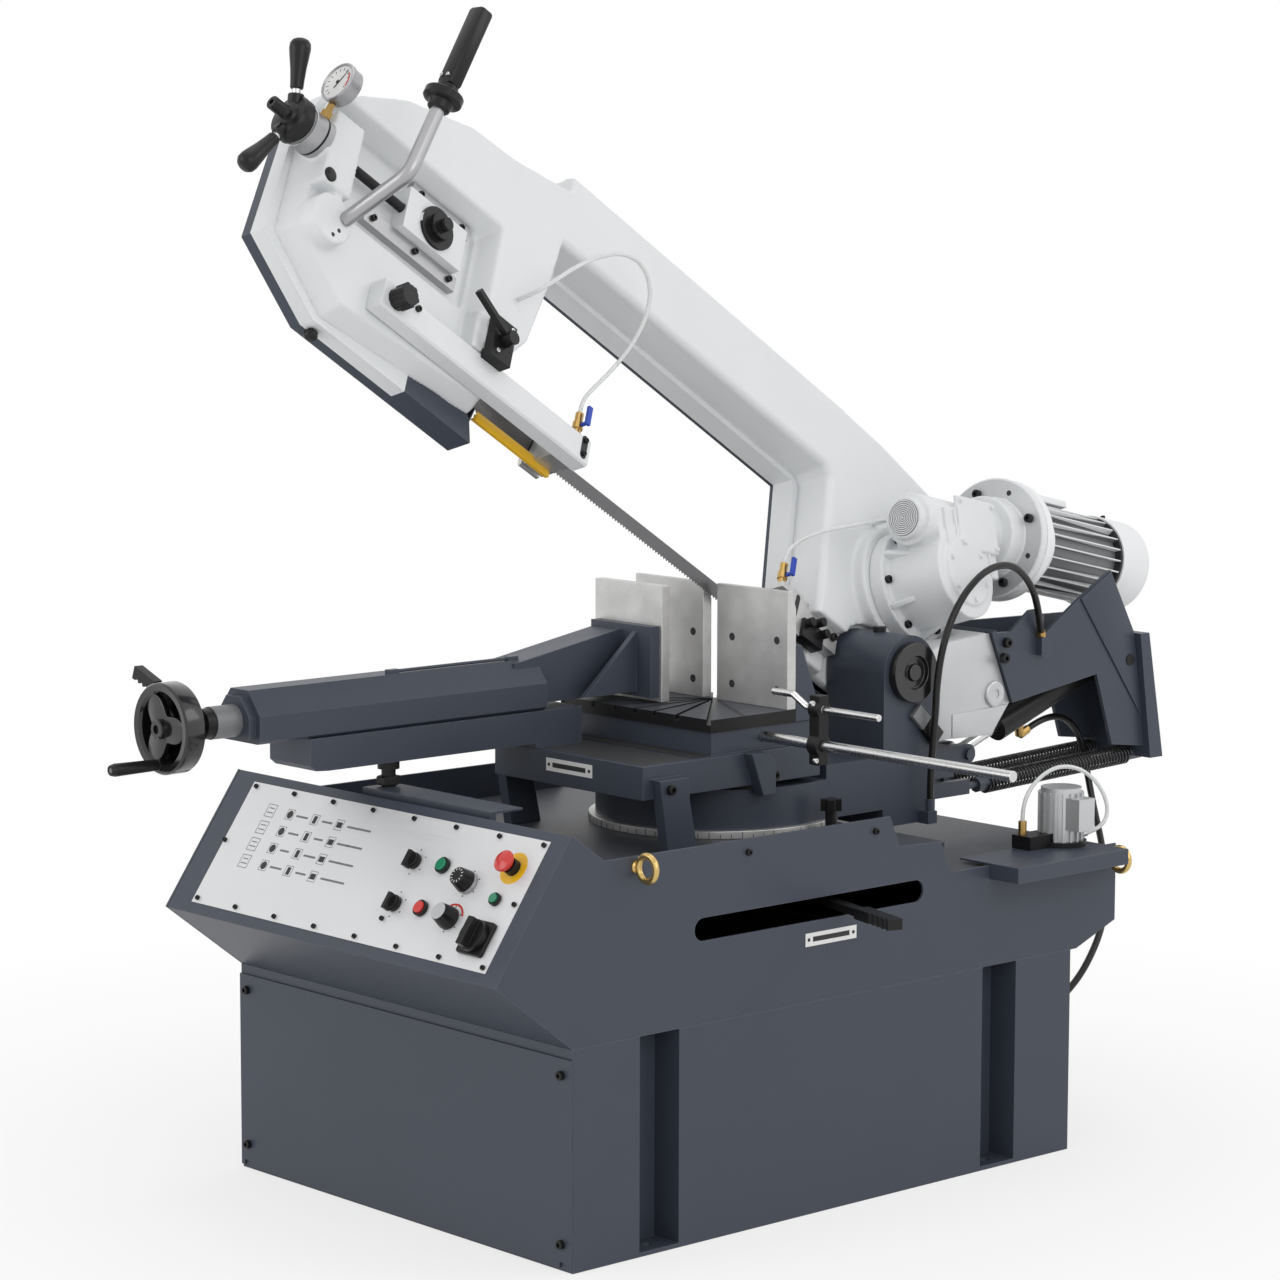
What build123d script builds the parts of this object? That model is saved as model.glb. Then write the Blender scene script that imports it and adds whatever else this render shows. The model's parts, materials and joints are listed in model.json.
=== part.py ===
from build123d import *
from math import cos, pi, radians, sin, sqrt, tan
import os

os.makedirs("parts", exist_ok=True)

# Mitre band saw with a swivelling, tilting bow. Millimetres and degrees.
# Origin: middle of the cabinet's footprint on the floor. +Z is up, -Y faces the operator,
# +X is the operator's right. The bow is drawn raised, with its blade in the plane X = 0.

# Fits
running_gap = 0.3
bore_gap = 0.4

# Cabinet
cabinet_width = 946.0
cabinet_depth = 1258.0
rear_wall = cabinet_depth / 2
cabinet_height = 390.0
sheet = 4.0
channel_width = 92.0
channel_depth = 65.0
channel_pitch = 860.0
foot_thickness = 8.0
anchor_hole = 18.0
anchor_inset = 31.0
cover_height = 366.0
cover_lift = 6.0
cover_border = 60.0
cover_notch = 20.0

# Heights that carry on from each other, from the tray up to the bow's pivot
tray_height = 640.0
rear_tray_height = tray_height - 65.0
arm_top = tray_height + 90.0
bed_z = (arm_top + 11.0, arm_top + 73.0)
table_top = bed_z[1] + 67.0
pivot_z = table_top + 44.0

# Upper body, side view points as (y, z)
side_plate = 5.0
nose = (-rear_wall - 170.0, tray_height - 120.0)
crest = (-rear_wall - 2.0, tray_height + 118.0)
console_back = (-rear_wall + 73.0, tray_height + 66.0)
side_top = (133.0, tray_height + 64.0)
notch_top = (159.0, tray_height + 7.0)
notch_step = (268.0, tray_height + 1.0)
notch_foot = (295.0, rear_tray_height + 6.0)
body_rear = rear_wall + 126.0
rear_chin = (rear_wall + 16.0, 432.0)
slot_ends = (-349.0, 222.0)
slot_heights = (tray_height - 103.0, tray_height - 62.0)
tray_step = 283.0

# Console panel and its controls; places are (x, distance up the slope) from its middle
panel_right = cabinet_width / 2 - 40.0
panel_size = (cabinet_width - 108.0, 252.0)
panel_middle = (panel_right - panel_size[0] / 2, 1.0)
panel_sheet = 2.0
bezel_radius = 15.0
bezel_height = 8.0
button_radius = 11.2
button_height = 7.0
button_travel = 4.0
small_button = 0.78
start_place = (panel_right - 226.0, 44.0)
stop_place = (panel_right - 227.0, -40.0)
reset_place = (panel_right - 59.0, 5.0)
mode_place = (panel_right - 303.0, 41.0)
pump_place = (panel_right - 299.0, -42.0)
speed_place = (panel_right - 145.0, 23.0)
feed_place = (panel_right - 147.0, -46.0)
estop_place = (panel_right - 55.0, 67.0)
main_place = (panel_right - 56.0, -69.0)
selector_radius = 13.0
selector_height = 15.0
dial_radius = 21.0
dial_height = 32.0
dial_skirt = 9.0
estop_radius = 20.0
estop_stem = 8.6
estop_collar = 14.0
estop_head = 20.0
main_plate = 64.0
main_radius = 29.0
main_height = 28.0

# Lifting eyes, (y, z) on the side plates
eye_radius = 22.0
eye_wire = 6.0
eye_stem = 8.0
front_eye = (-487.0, tray_height + 48.0)
rear_eye = (body_rear - 22.0, rear_tray_height - 19.0)

# Coolant pump and its shelf
shelf_x = (cabinet_width / 2 - 78.0, cabinet_width / 2 + 72.0)
shelf_y = (400.0, 709.0)
shelf_flange = 26.0
pump_x = cabinet_width / 2 - 49.0
pump_y = 650.0
pump_radius = 44.0
pump_height = 112.0
pump_foot = 10.0
pump_ribs = 18
pump_rib = 5.0
outlet_y = 564.0
outlet_height = 52.0

# Turntable, index plunger and the arm that swivels
swivel_y = 137.0
drum_radius = 238.0
drum_height = 15.0
post_radius = 50.0
arm_disc_radius = 225.0
arm_x = (62.0, 215.0)
arm_left = -120.0
ledge_y = 226.0
ledge_top = arm_top + 27.0
arm_foot = rear_tray_height + 45.0
index_x = 262.0
index_y = 192.0
index_height = 63.0
index_radius = 11.0

# Bow pivot and blade
pivot_y = 448.0
pivot_radius = 70.0
pivot_room = 8.0
shaft_radius = 25.0
shaft_start = 22.0
disc_radius = 58.0
disc_thickness = 18.0
raise_angle = 33.0
lean_angle = 21.0
pivot_along_blade = 595.4
pivot_above_blade = 34.5
wheel_radius = 188.0
wheel_width = 30.0
wheel_lip = 4.0
idler_a = -700.0
drive_a = 641.0
blade_width = 27.0
blade_thickness = 1.0
front_twist = (-690.0, -330.0)
rear_twist = (412.0, 630.0)

# Bow casting: a runs along the blade, b across it, c along the wheel axles
cast_back = 20.0
head_floor = 50.0
head_face = 62.0
beam_face = 105.0
beam_b = (345.0, 500.0)
cast_wall = 14.0
cast_edge = 9.0
boss_radius = 128.0
cover_depth = 32.0
cover_sheet = 3.0

# Handle on the head: its boss, the points of its bent tube, its guard and its grip
handle_boss = (-940.0, 45.0)
handle_boss_radius = 46.0
handle_boss_top = 97.0
handle_points = ((-915.0, 57.0, handle_boss_top), (-915.0, 106.0, 234.0), (-915.0, 230.0, 272.0))
handle_tube_radius = 13.0
handle_bend = 40.0
handle_guard = (35.0, 44.0)
handle_grip = (30.0, 36.0, 155.0)

# Blade tensioning
tension_c = 70.0
tension_travel = 12.0
slide_a = (-775.0, -625.0)
slide_half = 43.0
slide_height = 34.0
rail_width = 30.0
rail_height = 16.0
upper_rail_a = (-755.0, -605.0)
lower_rail_a = (-850.0, -612.0)
axle_radius = 20.0
screw_radius = 9.0
screw_grip = 25.0
housing_a = (-985.0, -915.0)
housing_reach = (90.0, 60.0)
spring_can = 45.0
can_radius = 37.0
hub_radius = 42.0
hub_length = 40.0
star_angles = (73.5, 253.5)
star_lean = 23.0
arm_reach = 110.0
gauge_radius = 38.0
gauge_depth = 30.0
gauge_a = -1001.0
gauge_reach = 102.0
gauge_lean = 27.0

# Guides
guide_a = (-800.0, -245.0)
guide_b = (-44.0, 12.0)
guide_c = (62.3, 100.0)
holder_length = 52.0
pad_thickness = 20.0
pad_a = (-552.0, -500.0)
pad_b = (2.0, 86.0)
rear_guide_a = (370.0, 406.0)
shelf = (33.0, 62.0)
shelf_plate = (530.0, -16.0, 88.0)
slot_room = 3.0
tap_radius = 8.0
tap_length = 50.0

# Gearbox and motor; the worm lies across the drive axle
flange_thickness = 32.0
flange_face = 165.0
flange_radius = 112.0
gear_radius = 92.0
gear_face = 285.0
worm_c = 230.0
worm_offset = 107.0
worm_angle = 22.4
worm_radius = 52.0
motor_flange_radius = 122.0
motor_radius = 90.0
motor_start = 212.0
motor_end = 636.0
motor_flange = 20.0
motor_fins = 24
fan_cover = 96.0

# Table, jaws and vise
table_plate = 24.0
table_x = (-210.0, 210.0)
table_y = (-66.0, 216.0)
table_nose = 78.0
groove_width = 8.0
groove_depth = 10.0
jaw_y = 126.0
jaw_plate = 22.0
jaw_gap = 38.0
jaw_width = 192.0
jaw_bracket = 80.0
jaw_top = table_top + 222.0
jaw_bevel = (11.0, 34.0)
bed_x = (-195.0, 219.0)
bed_y = (-242.0, 205.0)
leg_thickness = 24.0
vise_x = -135.0
beam_half = 60.0
beam_low = table_top + 2.3
beam_high = table_top + 95.0
beam_y = (-872.0, -215.0)
support_y = (-763.0, -242.0)
support_z = (table_top - 58.0, table_top + 2.0)
saddle_length = 112.0
console_shelf_x = (-120.0, 239.0)
console_shelf_y = (crest[0] + 18.0, crest[0] + 90.0)
console_shelf_top = table_top - 104.0
support_foot_x = -97.0
support_foot_y = crest[0] + 59.0
moving_jaw_x = (-197.0, -8.0)
moving_jaw_y = (10.0, 30.0)
jaw_lift = 2.0
bracket_top = table_top + 146.0
screw_z = table_top + 41.0
collar_radius = 29.0
collar_length = 52.0
nose_length = 14.0
lever_hub = 18.0
handwheel_radius = 80.0
handwheel_y = -1031.0
vise_screw = 10.0
crank_offset = 63.0
crank_pin = 5.0
crank_length = 96.0

# Length stop
stop_y = 70.0
rail_z = table_top - 43.0
rail_end = 830.0
stop_rail_radius = 10.0
finger_z = table_top + 23.0
finger_radius = 7.0
finger_rise = 21.0
clamp_x = (338.0, 364.0)

# Swivel lock lever
lever_z = tray_height - 83.0
lever_rest = -15.5
lever_length = 688.0
lever_grip = 120.0

# Lift cylinder, springs and the bracket that they pull on, places as (y, z)
cylinder_x = 130.0
rod_eye = (668.0, pivot_z - 187.0)
barrel_pin = (1096.0, pivot_z - 33.0)
pin_radius = 12.0
barrel_radius = 30.0
barrel_eye = 20.0
barrel_gap = 128.0
rod_radius = 12.0
eye_half = 14.0
cheek_gap = 2.0
cheek_outer = 34.0
bracket_x = (57.0, 203.0)
bracket_plate = 8.0
spring_radius = 18.0
spring_wire = 6.0
spring_turns = 12
spring_x = (66.0, 165.0)
spring_front = (712.0, pivot_z - 250.0)
spring_rear = (1135.0, pivot_z - 234.0)
spring_plug = 24.0

# Hoses, with their routes point by point
coolant_hose = 8.0
pressure_hose = 14.0
hose_end = 24.0
lift_elbow = (118.0, 866.0, pivot_z - 174.0)
front_route = [
    (-495, 161, 105), (-495, 161, 137), (-478, 188, 166), (-446, 236, 178), (-400, 290, 184), (-343, 338, 186),
    (-282, 360, 182), (-231, 338, 170), (-213, 288, 152), (-219, 228, 134), (-236, 172, 114), (-256, 126, 96),
    (-269, 92, 82), (-269, 62, 82),
]
rear_route = [
    (560, 302, 105), (560, 302, 134), (538, 284, 156), (502, 258, 162), (464, 232, 156), (424, 206, 142),
    (390, 182, 122), (366, 158, 94), (352, 128, 72), (352, 100, 72),
]
loop_route = [
    (213, 820, pivot_z + 48), (225, 797, pivot_z + 104), (240, 752, pivot_z + 158), (252, 690, pivot_z + 194),
    (257, 622, pivot_z + 192), (257, 566, pivot_z + 160), (254, 525, pivot_z + 110), (250, 499, pivot_z + 44),
    (246, 490, pivot_z - 24), (243, 490, pivot_z - 86), (240, 487, pivot_z - 148), (238, 484, pivot_z - 198),
    (238, 484, pivot_z - 246),
]
lift_route = [
    (118, 889, pivot_z - 164.25), (118, 925, pivot_z - 149), (117, 985, pivot_z - 145), (117, 1034, pivot_z - 172),
    (118, 1060, pivot_z - 222), (126, 1066, pivot_z - 280), (150, 1060, 570), (192, 1038, 506),
    (240, rear_wall + 371, 436), (278, rear_wall + 316, 360), (297, rear_wall + 243, 290),
    (299, rear_wall + 183, 247), (300, rear_wall + 123, 218), (300, rear_wall + 67, 205),
    (300, rear_wall + 12, 205),
]
pump_route = [
    (pump_x - 20, outlet_y, notch_foot[1] + 56), (pump_x - 20, outlet_y, notch_foot[1] + 83),
    (pump_x - 18, 580, notch_foot[1] + 115), (pump_x - 13, 610, notch_foot[1] + 141),
    (pump_x - 5, 648, notch_foot[1] + 155), (pump_x + 6, 690, notch_foot[1] + 149),
    (pump_x + 19, 724, notch_foot[1] + 125), (pump_x + 31, 742, notch_foot[1] + 91),
    (pump_x + 38, 744, notch_foot[1] + 57), (pump_x + 34, 726, notch_foot[1] + 31),
    (pump_x + 20, 704, notch_foot[1] + 22),
]

u_dir = Vector(0, cos(radians(raise_angle)), -sin(radians(raise_angle)))
n_dir = Vector(0, sin(radians(raise_angle)), cos(radians(raise_angle)))
w_dir = Vector(cos(radians(lean_angle)), 0, 0) + n_dir * sin(radians(lean_angle))
pivot_point = Vector(0, pivot_y, pivot_z)
bow_origin = pivot_point - u_dir * pivot_along_blade - n_dir * pivot_above_blade
bow_plane = Plane(origin=bow_origin, x_dir=u_dir, z_dir=w_dir)
panel_slope = Vector(0, crest[0] - nose[0], crest[1] - nose[1]).normalized()
panel_plane = Plane(
    origin=(0, (nose[0] + crest[0]) / 2, (nose[1] + crest[1]) / 2),
    x_dir=(1, 0, 0),
    z_dir=(0, -panel_slope.Z, panel_slope.Y),
)
nodes = {}


def block(x, y, z):
    """Box between two limits on each axis, given in either order."""
    x, y, z = sorted(x), sorted(y), sorted(z)
    size = Box(x[1] - x[0], y[1] - y[0], z[1] - z[0])
    return Pos((x[0] + x[1]) / 2, (y[0] + y[1]) / 2, (z[0] + z[1]) / 2) * size


def prism_x(points, x):
    low, high = sorted(x)
    return extrude(Plane.YZ.offset(low) * Polygon(*points, align=None), high - low, dir=(1, 0, 0))


def prism_y(points, y):
    low, high = sorted(y)
    return extrude(Plane.XZ.offset(-low) * Polygon(*points, align=None), high - low, dir=(0, 1, 0))


def prism_z(points, low, high):
    return extrude(Plane.XY.offset(low) * Polygon(*points, align=None), high - low, dir=(0, 0, 1))


def upright(radius, low, high):
    return Pos(0, 0, low) * Cylinder(radius, high - low, align=(Align.CENTER, Align.CENTER, Align.MIN))


def rod(start, end, radius):
    way = Vector(*end) - Vector(*start)
    return Plane(origin=Vector(*start), z_dir=way).location * upright(radius, 0, way.length)


def peg(start, end, radius):
    """Small round pin or stub, drawn with few sides."""
    way = Vector(*end) - Vector(*start)
    return extrude(Plane(origin=Vector(*start), z_dir=way) * RegularPolygon(radius, 10), way.length)


def turned(points, start, way):
    """Body of revolution from (radius, distance) points, set at start along a direction."""
    profile = Plane.XZ * Polygon(*points, align=None)
    return Plane(origin=start, z_dir=way).location * revolve(profile, Axis.Z)


def strip(points, thickness):
    """Outline of a bent sheet: a line of points and its parallel on the left."""
    left = []
    for i, (x, y) in enumerate(points):
        back = points[max(i - 1, 0)]
        ahead = points[min(i + 1, len(points) - 1)]
        into = Vector(x - back[0], y - back[1]) if i else Vector(ahead[0] - x, ahead[1] - y)
        out = Vector(ahead[0] - x, ahead[1] - y) if i < len(points) - 1 else into
        side = (Vector(-into.Y, into.X).normalized() + Vector(-out.Y, out.X).normalized()).normalized()
        reach = thickness / side.dot(Vector(-into.Y, into.X).normalized())
        left.append((x + side.X * reach, y + side.Y * reach))
    return list(points) + left[::-1]


def on_bow(shape):
    return bow_plane.location * shape


def on_panel(place, shape):
    return panel_plane.location * Pos(place[0], place[1], panel_sheet) * shape


def hose_fitting(end, next_point, length, diameter):
    """End piece in line with a hose's last run."""
    way = (Vector(*end) - Vector(*next_point)).normalized()
    return peg(end, Vector(*end) + way * length, 0.65 * diameter)


def swivel(shape):
    return Pos(0, swivel_y, 0) * shape


# Cabinet with recessed channels for the anchor feet
def cabinet_outline():
    outline = Rectangle(cabinet_width, cabinet_depth)
    for side in (-1, 1):
        for end in (-1, 1):
            middle = Pos(side * (cabinet_width - channel_depth) / 2, end * channel_pitch / 2)
            outline -= middle * Rectangle(channel_depth, channel_width)
    return outline


def make_cabinet():
    outline = cabinet_outline()
    shell = extrude(outline - offset(outline, -sheet, kind=Kind.INTERSECTION), cabinet_height)
    rim = 2 * channel_depth
    inside = Rectangle(cabinet_width - 2 * rim, cabinet_depth - 2 * rim)
    shell += Pos(0, 0, cabinet_height - sheet) * extrude(outline - inside, sheet)
    half = cabinet_width / 2
    front = -cabinet_depth / 2
    window_z = (cover_lift + cover_border, cover_lift + cover_height - cover_border)
    shell -= block((cover_border - half, half - cover_border), (front - sheet, front + 2 * sheet), window_z)
    for side in (-1, 1):
        for end in (-1, 1):
            middle = Pos(side * (half - channel_depth / 2), end * channel_pitch / 2)
            shell += extrude(middle * Rectangle(channel_depth, channel_width), foot_thickness)
            hole = Pos(side * (half - anchor_inset), end * channel_pitch / 2)
            shell -= extrude(hole * Circle(anchor_hole / 2), foot_thickness)
    gland = lift_route[-1]
    shell += peg(gland, (gland[0], rear_wall - sheet, gland[2]), pressure_hose)
    nodes["cabinet"] = shell
    cover = block((-half, half), (front - sheet, front), (cover_lift, cover_lift + cover_height))
    for side in (-1, 1):
        middle = side * (half - cover_notch)
        notch_x = (middle - cover_notch / 2, middle + cover_notch / 2)
        cover -= block(notch_x, (front - sheet, front), (cover_lift, cover_lift + cover_notch / 2))
    nodes["front_cover"] = cover


# Welded sheet body: side plates, sloped console and stepped tray
def make_body():
    outer = cabinet_width / 2
    inner = outer - side_plate
    chin = (-cabinet_depth / 2, cabinet_height)
    side = [
        chin, nose, crest, console_back, side_top, notch_top, notch_step, notch_foot,
        (body_rear, notch_foot[1]), (body_rear, rear_chin[1]), (rear_chin[0], cabinet_height),
    ]
    slot_middle = Pos(sum(slot_ends) / 2, sum(slot_heights) / 2)
    slot = SlotOverall(slot_ends[1] - slot_ends[0], slot_heights[1] - slot_heights[0])
    right = prism_x(side, (inner, outer))
    right -= extrude(Plane.YZ.offset(inner) * slot_middle * slot, side_plate)
    nodes["side_plates"] = right + prism_x(side, (-outer, -inner))
    console = [chin, nose, crest, console_back, (console_back[0], cabinet_height)]
    face = Polygon(*console, align=None)
    face -= offset(face, -sheet, kind=Kind.INTERSECTION)
    nodes["console_housing"] = extrude(Plane.YZ.offset(-inner) * face, 2 * inner, dir=(1, 0, 0))
    line = [
        (rear_chin[0], cabinet_height), (body_rear, rear_chin[1]), (body_rear, rear_tray_height),
        (tray_step, rear_tray_height), (tray_step, tray_height), (console_back[0], tray_height),
    ]
    nodes["tray_floor"] = prism_x(strip(line, sheet), (-inner, inner))


# Control panel, fixed bezels and the controls that press or turn
def make_panel():
    plate = Pos(*panel_middle) * Rectangle(*panel_size)
    nodes["panel_plate"] = extrude(panel_plane * plate, panel_sheet)
    bezels = []
    buttons = (
        ("start_button", start_place, 1.0),
        ("stop_button", stop_place, 1.0),
        ("reset_button", reset_place, small_button),
    )
    for name, place, scale in buttons:
        ring = Circle(bezel_radius * scale) - Circle(button_radius * scale + bore_gap)
        bezels.append(on_panel(place, extrude(ring, bezel_height)))
        low = button_travel + running_gap
        nodes[name] = on_panel(place, upright(button_radius * scale, low, low + button_height))
    top = bezel_height + running_gap
    for name, place in (("mode_selector", mode_place), ("pump_selector", pump_place)):
        bezels.append(on_panel(place, upright(bezel_radius, 0, bezel_height)))
        knob = upright(selector_radius, top, top + selector_height / 3)
        ridge = (-selector_radius / 3, selector_radius / 3)
        knob += block(ridge, (-1.4 * selector_radius, selector_radius), (top, top + selector_height))
        nodes[name] = on_panel(place, knob)
    for name, place in (("speed_dial", speed_place), ("feed_dial", feed_place)):
        profile = [
            (0, running_gap), (dial_radius, running_gap), (dial_radius, dial_skirt),
            (0.76 * dial_radius, dial_height), (0, dial_height),
        ]
        nodes[name] = on_panel(place, turned(profile, (0, 0, 0), (0, 0, 1)))
    collar = Circle(bezel_radius) - Circle(estop_stem + bore_gap)
    bezels.append(on_panel(estop_place, extrude(collar, estop_collar)))
    low = button_travel + running_gap
    head = estop_collar + low
    profile = [
        (0, low), (estop_stem, low), (estop_stem, head), (0.7 * estop_radius, head),
        (estop_radius, head + 0.3 * estop_head), (estop_radius, head + 0.6 * estop_head), (0, head + estop_head),
    ]
    nodes["emergency_stop"] = on_panel(estop_place, turned(profile, (0, 0, 0), (0, 0, 1)))
    bezels.append(on_panel(main_place, extrude(RectangleRounded(main_plate, main_plate, 6), bezel_height)))
    switch = upright(main_radius, top, top + 0.4 * main_height)
    grip = (-main_radius / 4, main_radius / 4)
    switch += block(grip, (-0.9 * main_radius, 0.9 * main_radius), (top, top + main_height))
    nodes["main_switch"] = on_panel(main_place, switch)
    nodes["control_bezels"] = Compound(bezels)


# Lifting eyes on the side plates
def make_eyes():
    eyes = []
    for side in (-1, 1):
        for y, z in (front_eye, rear_eye):
            face = side * cabinet_width / 2
            middle = (face + side * (eye_stem + eye_radius), y, z)
            section = Plane.XZ * Pos(eye_radius, 0) * RegularPolygon(eye_wire, 4)
            ring = Plane(origin=middle, z_dir=(0, 1, 0)).location * revolve(section, Axis.Z)
            stem = peg((face, y, z), (face + side * eye_stem, y, z), 0.8 * eye_wire)
            eyes.append(ring + stem)
    nodes["lifting_eyes"] = Compound(eyes)


# Coolant pump on its shelf
def make_pump():
    low = notch_foot[1]
    top = low + sheet
    flange = (low - shelf_flange, low)
    shelf = block(shelf_x, shelf_y, (low, top))
    outside = (cabinet_width / 2, shelf_x[1])
    shelf += block((shelf_x[1] - sheet, shelf_x[1]), shelf_y, flange)
    for y in (shelf_y[0], shelf_y[1] - sheet):
        shelf += block(outside, (y, y + sheet), flange)
    nodes["pump_shelf"] = shelf
    place = Pos(pump_x, pump_y)
    pump = place * upright(pump_radius + 6, top, top + pump_foot)
    pump += place * upright(pump_radius - pump_rib, top, top + pump_height)
    for i in range(pump_ribs):
        rib = block((0, pump_radius), (-pump_rib / 2, pump_rib / 2), (top + pump_foot, top + 0.92 * pump_height))
        pump += place * Rot(0, 0, 360 * i / pump_ribs) * rib
    box_x = (pump_x, pump_x + 1.5 * pump_radius)
    box_z = (top + 0.3 * pump_height, top + 0.85 * pump_height)
    pump += block(box_x, (pump_y - pump_radius / 2, pump_y + pump_radius / 2), box_z)
    outlet_x = pump_route[0][0]
    pump += block((outlet_x - 14, outlet_x + 34), (outlet_y - 14, pump_y), (top, top + outlet_height / 2))
    pump += peg((outlet_x, outlet_y, top), (outlet_x, outlet_y, top + outlet_height), coolant_hose)
    pump += hose_fitting(pump_route[-1], pump_route[-2], hose_end, coolant_hose)
    nodes["coolant_pump"] = pump


# Fixed drum with the swivel post, and the plunger that indexes the swivel
def make_turntable():
    drum = swivel(upright(drum_radius, tray_height, tray_height + drum_height))
    nodes["turntable_base"] = drum + swivel(upright(post_radius, tray_height, bed_z[0]))
    place = Pos(index_x, index_y)
    low = tray_height + running_gap
    top = tray_height + index_height
    knob = place * upright(index_radius, low, top)
    for angle in (45, 135):
        bar = block((-1.8 * index_radius, 1.8 * index_radius), (-7, 7), (top - 2 * index_radius, top))
        knob += place * Rot(0, 0, angle) * bar
    nodes["index_knob"] = knob


# Swivel arm: disc, ledge, pivot barrel and the lugs for the cylinder and springs
def make_arm():
    low = tray_height + drum_height + running_gap
    front = pivot_y - pivot_radius
    rear = pivot_y + pivot_radius
    arm = swivel(upright(arm_disc_radius, low, arm_top))
    arm += block((arm_left, arm_x[1]), (swivel_y, rear), (low, arm_top))
    arm += block(arm_x, (ledge_y, rear), (arm_top, ledge_top))
    arm += block(arm_x, (front, rear), (arm_foot, pivot_z))
    arm += rod((arm_x[0], pivot_y, pivot_z), (arm_x[1], pivot_y, pivot_z), pivot_radius)
    eye_y, eye_z = rod_eye
    lug_x = (cylinder_x - cheek_outer, cylinder_x + cheek_outer)
    cheek = 20.0
    arm += block(lug_x, (rear, eye_y - 2 * cheek), (eye_z - 2 * cheek, eye_z + cheek))
    for side in (-1, 1):
        ear = (cylinder_x + side * (eye_half + cheek_gap), cylinder_x + side * cheek_outer)
        arm += block(ear, (eye_y - 2 * cheek, eye_y), (eye_z - cheek, eye_z + cheek))
        arm += rod((ear[0], eye_y, eye_z), (ear[1], eye_y, eye_z), cheek)
        arm += peg((ear[1], eye_y, eye_z), (ear[1] + side * 0.4 * cheek, eye_y, eye_z), 0.6 * cheek)
    y, z = spring_front
    plug = spring_radius - spring_wire / 2 - running_gap
    for x in spring_x:
        arm += block((x - plug / 2, x + plug / 2), (rear, y - 2 * spring_plug), (z - plug, z + plug))
        arm += peg((x, y - 2 * spring_plug, z), (x, y - spring_plug, z), plug / 2)
        arm += rod_along_spring(x, -spring_plug, spring_plug, plug)
    end = loop_route[-1]
    fitting_z = (end[2] - 2 * hose_end, end[2] - hose_end)
    arm += block((arm_x[1], end[0] + pressure_hose / 2), (end[1] - 12, end[1] + 12), fitting_z)
    arm += hose_fitting(end, loop_route[-2], hose_end, pressure_hose)
    arm -= swivel(upright(post_radius + bore_gap, low, arm_top))
    arm -= rod((arm_x[0], pivot_y, pivot_z), (arm_x[1], pivot_y, pivot_z), shaft_radius + bore_gap)
    plug_plane = Plane.XY.offset(pivot_z + pivot_radius - 3)
    arm += extrude(plug_plane * Pos(0.62 * arm_x[1], pivot_y) * RegularPolygon(13, 6), 13)
    nodes["swivel_arm"] = arm


# Work table, vise bed and jaws
def nose_room(low, high):
    """Room behind the jaws for the rear guide at every swivel angle."""
    side = jaw_gap / 2 + jaw_width - jaw_bracket - 4
    room = block((-side, side), (jaw_y + jaw_plate + 8, table_y[1]), (low, high))
    return room - swivel(upright(table_nose, low, high))


def make_table():
    low = table_top - table_plate
    bed = block(bed_x, bed_y, bed_z)
    bed += block((table_x[0] + 5, table_x[1] - 5), (table_y[0] + 6, bed_y[1]), (bed_z[1], low))
    bed -= nose_room(bed_z[1] + 16, low)
    table = block(table_x, table_y, (low, table_top)) - nose_room(low, table_top)
    jaw_back = jaw_y + jaw_plate
    gusset = [
        (jaw_back, low), (bed_y[1] - 3, low), (bed_y[1] - 3, table_top + 20),
        (jaw_back + 14, table_top + 120), (jaw_back, table_top + 120),
    ]
    jaw = [
        (jaw_y, table_top), (jaw_back, table_top), (jaw_back, jaw_top - jaw_bevel[1]),
        (jaw_back - jaw_bevel[0], jaw_top), (jaw_y, jaw_top),
    ]
    jaws = []
    for side in (-1, 1):
        inner = side * jaw_gap / 2
        outer = inner + side * jaw_width
        bracket = (outer, outer - side * jaw_bracket)
        bed += prism_x(gusset, bracket)
        table -= block(bracket, (jaw_back, table_y[1]), (low, table_top))
        jaws.append(prism_x(jaw, (inner, outer)))
    nodes["fixed_jaws"] = Compound(jaws)
    leg_top = bed_z[1] - 25
    leg = [(-222, leg_top), (-150, leg_top), (-148, bed_z[0] - 8), (-128, tray_height), (-200, tray_height)]
    for face in (bed_x[1], bed_x[0] - leg_thickness):
        bed += prism_x(leg, (face, face + leg_thickness))
    rib = [(6, bed_z[1]), (48, bed_z[1]), (68, bed_z[1] - 22), (68, bed_z[0] - 18), (36, bed_z[0] - 18)]
    bed += prism_x(rib, (bed_x[1], bed_x[1] + leg_thickness))
    nodes["vise_bed"] = bed
    reach = 2 * (table_y[1] - table_y[0])
    cut_z = (table_top - groove_depth, table_top)
    groove_x = (-groove_width / 2, groove_width / 2)
    for angle in range(-45, 46, 15):
        table -= swivel(Rot(0, 0, angle) * block(groove_x, (-reach, 0), cut_z))
    for angle in range(0, 46, 15):
        table -= swivel(Rot(0, 0, angle) * block(groove_x, (0, reach), cut_z))
    nodes["work_table"] = table


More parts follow.
